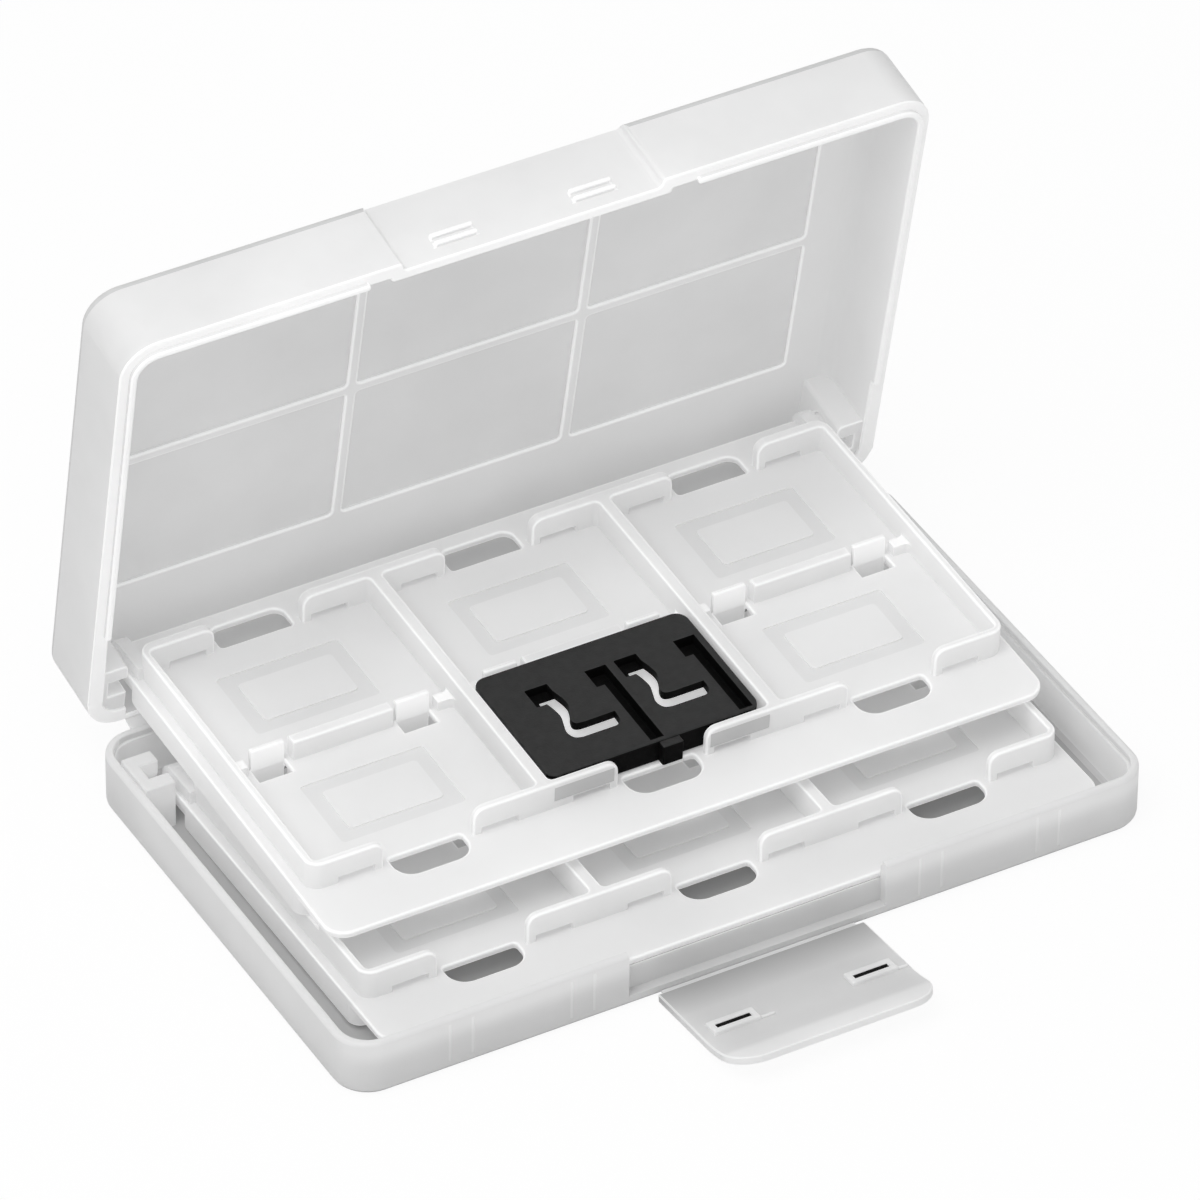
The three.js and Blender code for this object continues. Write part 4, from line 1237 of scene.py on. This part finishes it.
def ribbon(points, width):
    # Outline of a band of the given width along a line
    left = []
    right = []
    for i, (x, y) in enumerate(points):
        before = points[max(i - 1, 0)]
        after = points[min(i + 1, len(points) - 1)]
        along = Vector((after[0] - before[0], after[1] - before[1])).normalized()
        left.append((x - along.y * width / 2, y + along.x * width / 2))
        right.append((x + along.y * width / 2, y - along.x * width / 2))
    return right + left[::-1]


def smooth_line(points, steps=4):
    # A smooth curve through the given points
    line = []
    for i in range(len(points) - 1):
        p0 = Vector(points[max(i - 1, 0)])
        p1 = Vector(points[i])
        p2 = Vector(points[i + 1])
        p3 = Vector(points[min(i + 2, len(points) - 1)])
        for step in range(steps):
            t = step / steps
            spot = p1 + (p2 - p0) * t / 2 + (p0 - p1 * 2.5 + p2 * 2 - p3 / 2) * t ** 2
            spot += (p1 * 1.5 - p0 / 2 - p2 * 1.5 + p3 / 2) * t ** 3
            line.append((spot.x, spot.y))
    line.append(tuple(points[-1]))
    return line


def make_insert():
    half_x = INSERT_WIDTH / 2
    half_y = INSERT_DEPTH / 2
    top = INSERT_THICKNESS + BEYOND
    guide_z = INSERT_THICKNESS - GUIDE_CUT
    notch_z = INSERT_THICKNESS - SQUARE_CUT
    plate_z = INSERT_THICKNESS - INSERT_PLATE
    body = slab(-half_x, half_x, -half_y, half_y, 0, INSERT_THICKNESS, INSERT_CORNER, 8)
    round_edges(body, at_height(INSERT_THICKNESS), INSERT_EDGE, 3)
    stop = block(STOP_X, STOP_X + STOP_WIDTH, *around(-half_y, STOP_LENGTH), 0, STOP_HEIGHT)
    round_edges(stop, lambda a, b: at_height(STOP_HEIGHT)(a, b) or upright(a, b), STOP_EDGE, 3)
    add(body, [stop])

    # Hollow below the plate, with thin floors left under the notches and guides
    hollow_x = half_x - INSERT_SKIRT
    hollow_y = half_y - INSERT_SKIRT
    cut(body, [block(-hollow_x, hollow_x, -hollow_y, hollow_y, -BEYOND, guide_z - BAY_FLOOR)])
    for move in (0, BAY_PITCH):
        left, right, front = BAY_HOLLOW
        under = block(left + move, right + move, front, hollow_y, -BEYOND / 2, plate_z)
        for left, right, front, rear in NOTCH_FLOORS:
            cut(under, [block(left + move, right + move, front, rear,
                              notch_z - BAY_FLOOR, INSERT_THICKNESS)])
        left, right, front, rear = GUIDE_FLOOR
        cut(under, [block(left + move, right + move, front, rear,
                          guide_z - BAY_FLOOR, INSERT_THICKNESS)])
        cut(body, [under])

    # Square notch, curved slot and card guide of each bay
    slot = smooth_line(SLOT_LEFT) + smooth_line(SLOT_END, 3) + smooth_line(SLOT_RIGHT)
    for move in (0, BAY_PITCH):
        left, right, front, rear = NOTCH
        cut(body, [slab(left + move, right + move, front, rear, notch_z, top, NOTCH_CORNER, 2)])
        cut(body, [flat_curve([(x + move, y) for x, y in slot], -BEYOND, top)])
        cut(body, [flat_curve([(x + move, y) for x, y in GUIDE], guide_z, top)])
    clean(body)
    dress(body, "card_bay_insert", [insert_black, insert_deep])
    # Painted shade inside the insert's cuts and hollows, and on its front faces
    paint_faces(body, insert_deep, lambda c, n: DEEP < c.z < INSERT_THICKNESS - 2 * DEEP
                and abs(c.x) < half_x - DEEP and abs(c.y) < half_y - DEEP)
    paint_faces(body, insert_deep, lambda c, n: c.y < NEAR - half_y and n.z < 0.5)
    return finish_shading(body)


# Thin bending band along a line drawn in y and z

def make_band(name, points, half_width):
    band = flat_curve(ribbon(points, STRIP_THICKNESS), -half_width, half_width)
    band.data.transform(Matrix(((0, 0, 1, 0), (1, 0, 0, 0), (0, 1, 0, 0), (0, 0, 0, 1))))
    clean(band)
    dress(band, name, [case_milky, case_painted_highlight])
    return finish_shading(band)


def lid_strip_line():
    angle = math.radians(LID_ANGLE)
    off = STRIP_CLEARANCE + STRIP_THICKNESS / 2

    def on_lid(s, t):
        return (HINGE_Y - s * math.cos(angle) + t * math.sin(angle),
                HINGE_Z + s * math.sin(angle) + t * math.cos(angle))

    lid_start = HINGE_DROP + RIM_GAP + STRIP_THICKNESS
    start = (REAR + off, BASE_HEIGHT - HINGE_DROP - STRIP_LEAF)
    low = (REAR + off, BASE_HEIGHT - HINGE_DROP)
    high = on_lid(HINGE_SETBACK - off, lid_start)
    middle = ((low[0] + high[0] + STRIP_THICKNESS) / 2, (low[1] + high[1] - STRIP_THICKNESS) / 2)
    end = on_lid(HINGE_SETBACK - off, lid_start + STRIP_LEAF)
    line = [start]
    for step in range(STRIP_BENDS + 1):
        t = step / STRIP_BENDS
        line.append(tuple((1 - t) ** 2 * low[k] + 2 * t * (1 - t) * middle[k] + t ** 2 * high[k]
                          for k in (0, 1)))
    line.append(end)
    return line


def latch_strip_line():
    angle = math.radians(FLAP_ANGLE)
    lever = FLAP_AXIS_DEPTH - FLAP_THICKNESS / 2
    root_y = FLAP_AXIS_Y - FLAP_ROOT * math.sin(angle) + lever * math.cos(angle)
    root_z = FLAP_AXIS_HEIGHT + FLAP_ROOT * math.cos(angle) + lever * math.sin(angle)
    start = FRONT - STRIP_CLEARANCE
    end = root_y + 2 * STRIP_CLEARANCE
    return [(start + (end - start) * step / STRIP_BENDS, root_z) for step in range(STRIP_BENDS + 1)]


# Make the pieces with their finishes, hide the CAD node each one replaces, and attach all but the two
# bending strips to their bodies

base = make_base()
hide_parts("base_shell")
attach(base, "base")

lid = make_lid()
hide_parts("lid_shell")
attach(lid, "lid")

lower = make_tray()
upper = own_copy(lower, "upper_card_pockets")
rename(lower, "lower_card_pockets")
make_rest(lower)
make_seat(upper)
place(lower, LOWER_Y, LOWER_Z, -LOWER_TILT)
place(upper, UPPER_REST_Y, UPPER_REST_Z, UPPER_TILT)
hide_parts("lower_tray")
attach(lower, "lower_card_tray")
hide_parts("upper_tray")
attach(upper, "upper_card_tray")

flap = make_flap()
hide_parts("latch_flap")
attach(flap, "latch")

insert = make_insert()
place(insert, SEAT_Y, HALF_PLATE + INSERT_LIFT, 0)
place(insert, UPPER_REST_Y, UPPER_REST_Z, UPPER_TILT)
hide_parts("memory_card_insert")
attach(insert, "upper_card_tray")

lid_line = lid_strip_line()
lid_band = make_band("lid_bending_strip", lid_line, HALF_WIDTH - CORNER_RADIUS - STRIP_END_INSET)
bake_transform(lid_band)
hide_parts("lid_hinge_strip")

latch_line = latch_strip_line()
latch_band = make_band("latch_bending_strip", latch_line, FLAP_WIDTH / 2 - STRIP_END_INSET)
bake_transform(latch_band)
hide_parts("latch_hinge_strip")


# Camera at the photograph's viewing angle

CAMERA_AZIMUTH = -0.5147
CAMERA_HEIGHT = 0.6659
CAMERA_ROLL = 0.0101
CAMERA_DISTANCE = 1437.4
CAMERA_RIGHT = -2.803
CAMERA_UP = 26.851
CAMERA_LENS = 330.9

back = Vector((math.sin(CAMERA_AZIMUTH) * math.cos(CAMERA_HEIGHT),
               -math.cos(CAMERA_AZIMUTH) * math.cos(CAMERA_HEIGHT), math.sin(CAMERA_HEIGHT)))
level_right = Vector((math.cos(CAMERA_AZIMUTH), math.sin(CAMERA_AZIMUTH), 0))
level_up = back.cross(level_right)
right = math.cos(CAMERA_ROLL) * level_right + math.sin(CAMERA_ROLL) * level_up
up = -math.sin(CAMERA_ROLL) * level_right + math.cos(CAMERA_ROLL) * level_up
spot = (right * CAMERA_RIGHT + up * CAMERA_UP + back * CAMERA_DISTANCE) * MM
turn = Matrix((right, up, back)).transposed().to_4x4()
bpy.ops.object.camera_add()
camera = bpy.context.active_object
camera.matrix_world = Matrix.Translation(spot) @ turn
camera.data.lens = CAMERA_LENS
camera.data.sensor_width = 36
camera.data.clip_start = 0.01
camera.data.clip_end = 20
bpy.context.scene.camera = camera


# Floor, world and lamp, in metres

STUDIO_SIZE = 6
STUDIO_DROP = 0.00005
STUDIO_WHITE = 0.93
WORLD_LIGHT = 0.65
LAMP_SPOT = (-0.45, -0.2, 0.9)
LAMP_AIM = (0, 0, 0.02)
LAMP_SIZE = 0.7
LAMP_POWER = 5.5


def make_floor():
    # White where it is seen, and a plain matt floor for the light it sends back
    deselect_all()
    bpy.ops.mesh.primitive_plane_add(size=STUDIO_SIZE, location=(0, 0, -STUDIO_DROP))
    floor = bpy.context.active_object
    floor.name = "studio_floor"
    finish = bpy.data.materials.new("studio_floor")
    finish.use_nodes = True
    nodes, links = tree_of(finish)
    shader = nodes["Principled BSDF"]
    set_inputs(shader, {"Base Color": grey(0.85), "Roughness": 0.9, "Specular IOR Level": 0})
    white = nodes.new("ShaderNodeEmission")
    set_inputs(white, {"Strength": 1})
    seen = nodes.new("ShaderNodeLightPath")
    share = nodes.new("ShaderNodeMath")
    share.operation = "MAXIMUM"
    links.new(seen.outputs["Is Camera Ray"], share.inputs[0])
    links.new(seen.outputs["Is Glossy Ray"], share.inputs[1])
    most = nodes.new("ShaderNodeMath")
    most.operation = "MULTIPLY"
    most.inputs[1].default_value = STUDIO_WHITE
    links.new(share.outputs["Value"], most.inputs[0])
    mix = nodes.new("ShaderNodeMixShader")
    links.new(most.outputs["Value"], mix.inputs["Fac"])
    links.new(shader.outputs["BSDF"], mix.inputs[1])
    links.new(white.outputs["Emission"], mix.inputs[2])
    links.new(mix.outputs["Shader"], nodes["Material Output"].inputs["Surface"])
    floor.data.materials.append(finish)


def make_world():
    world = bpy.data.worlds.new("studio_world")
    bpy.context.scene.world = world
    world.use_nodes = True
    nodes, links = tree_of(world)
    light = nodes["Background"]
    set_inputs(light, {"Color": grey(1), "Strength": WORLD_LIGHT})
    white = nodes.new("ShaderNodeBackground")
    set_inputs(white, {"Color": grey(1), "Strength": 1})
    seen = nodes.new("ShaderNodeLightPath")
    mix = nodes.new("ShaderNodeMixShader")
    links.new(seen.outputs["Is Camera Ray"], mix.inputs["Fac"])
    links.new(light.outputs["Background"], mix.inputs[1])
    links.new(white.outputs["Background"], mix.inputs[2])
    links.new(mix.outputs["Shader"], nodes["World Output"].inputs["Surface"])


def make_lamp():
    deselect_all()
    bpy.ops.object.light_add(type="AREA", location=LAMP_SPOT)
    lamp = bpy.context.active_object
    lamp.name = "top_softbox"
    lamp.data.size = LAMP_SIZE
    lamp.data.energy = LAMP_POWER
    aim = Vector(LAMP_AIM) - Vector(LAMP_SPOT)
    lamp.rotation_euler = aim.to_track_quat("-Z", "Y").to_euler()


make_floor()
make_world()
make_lamp()

bpy.context.scene.view_settings.view_transform = "Standard"
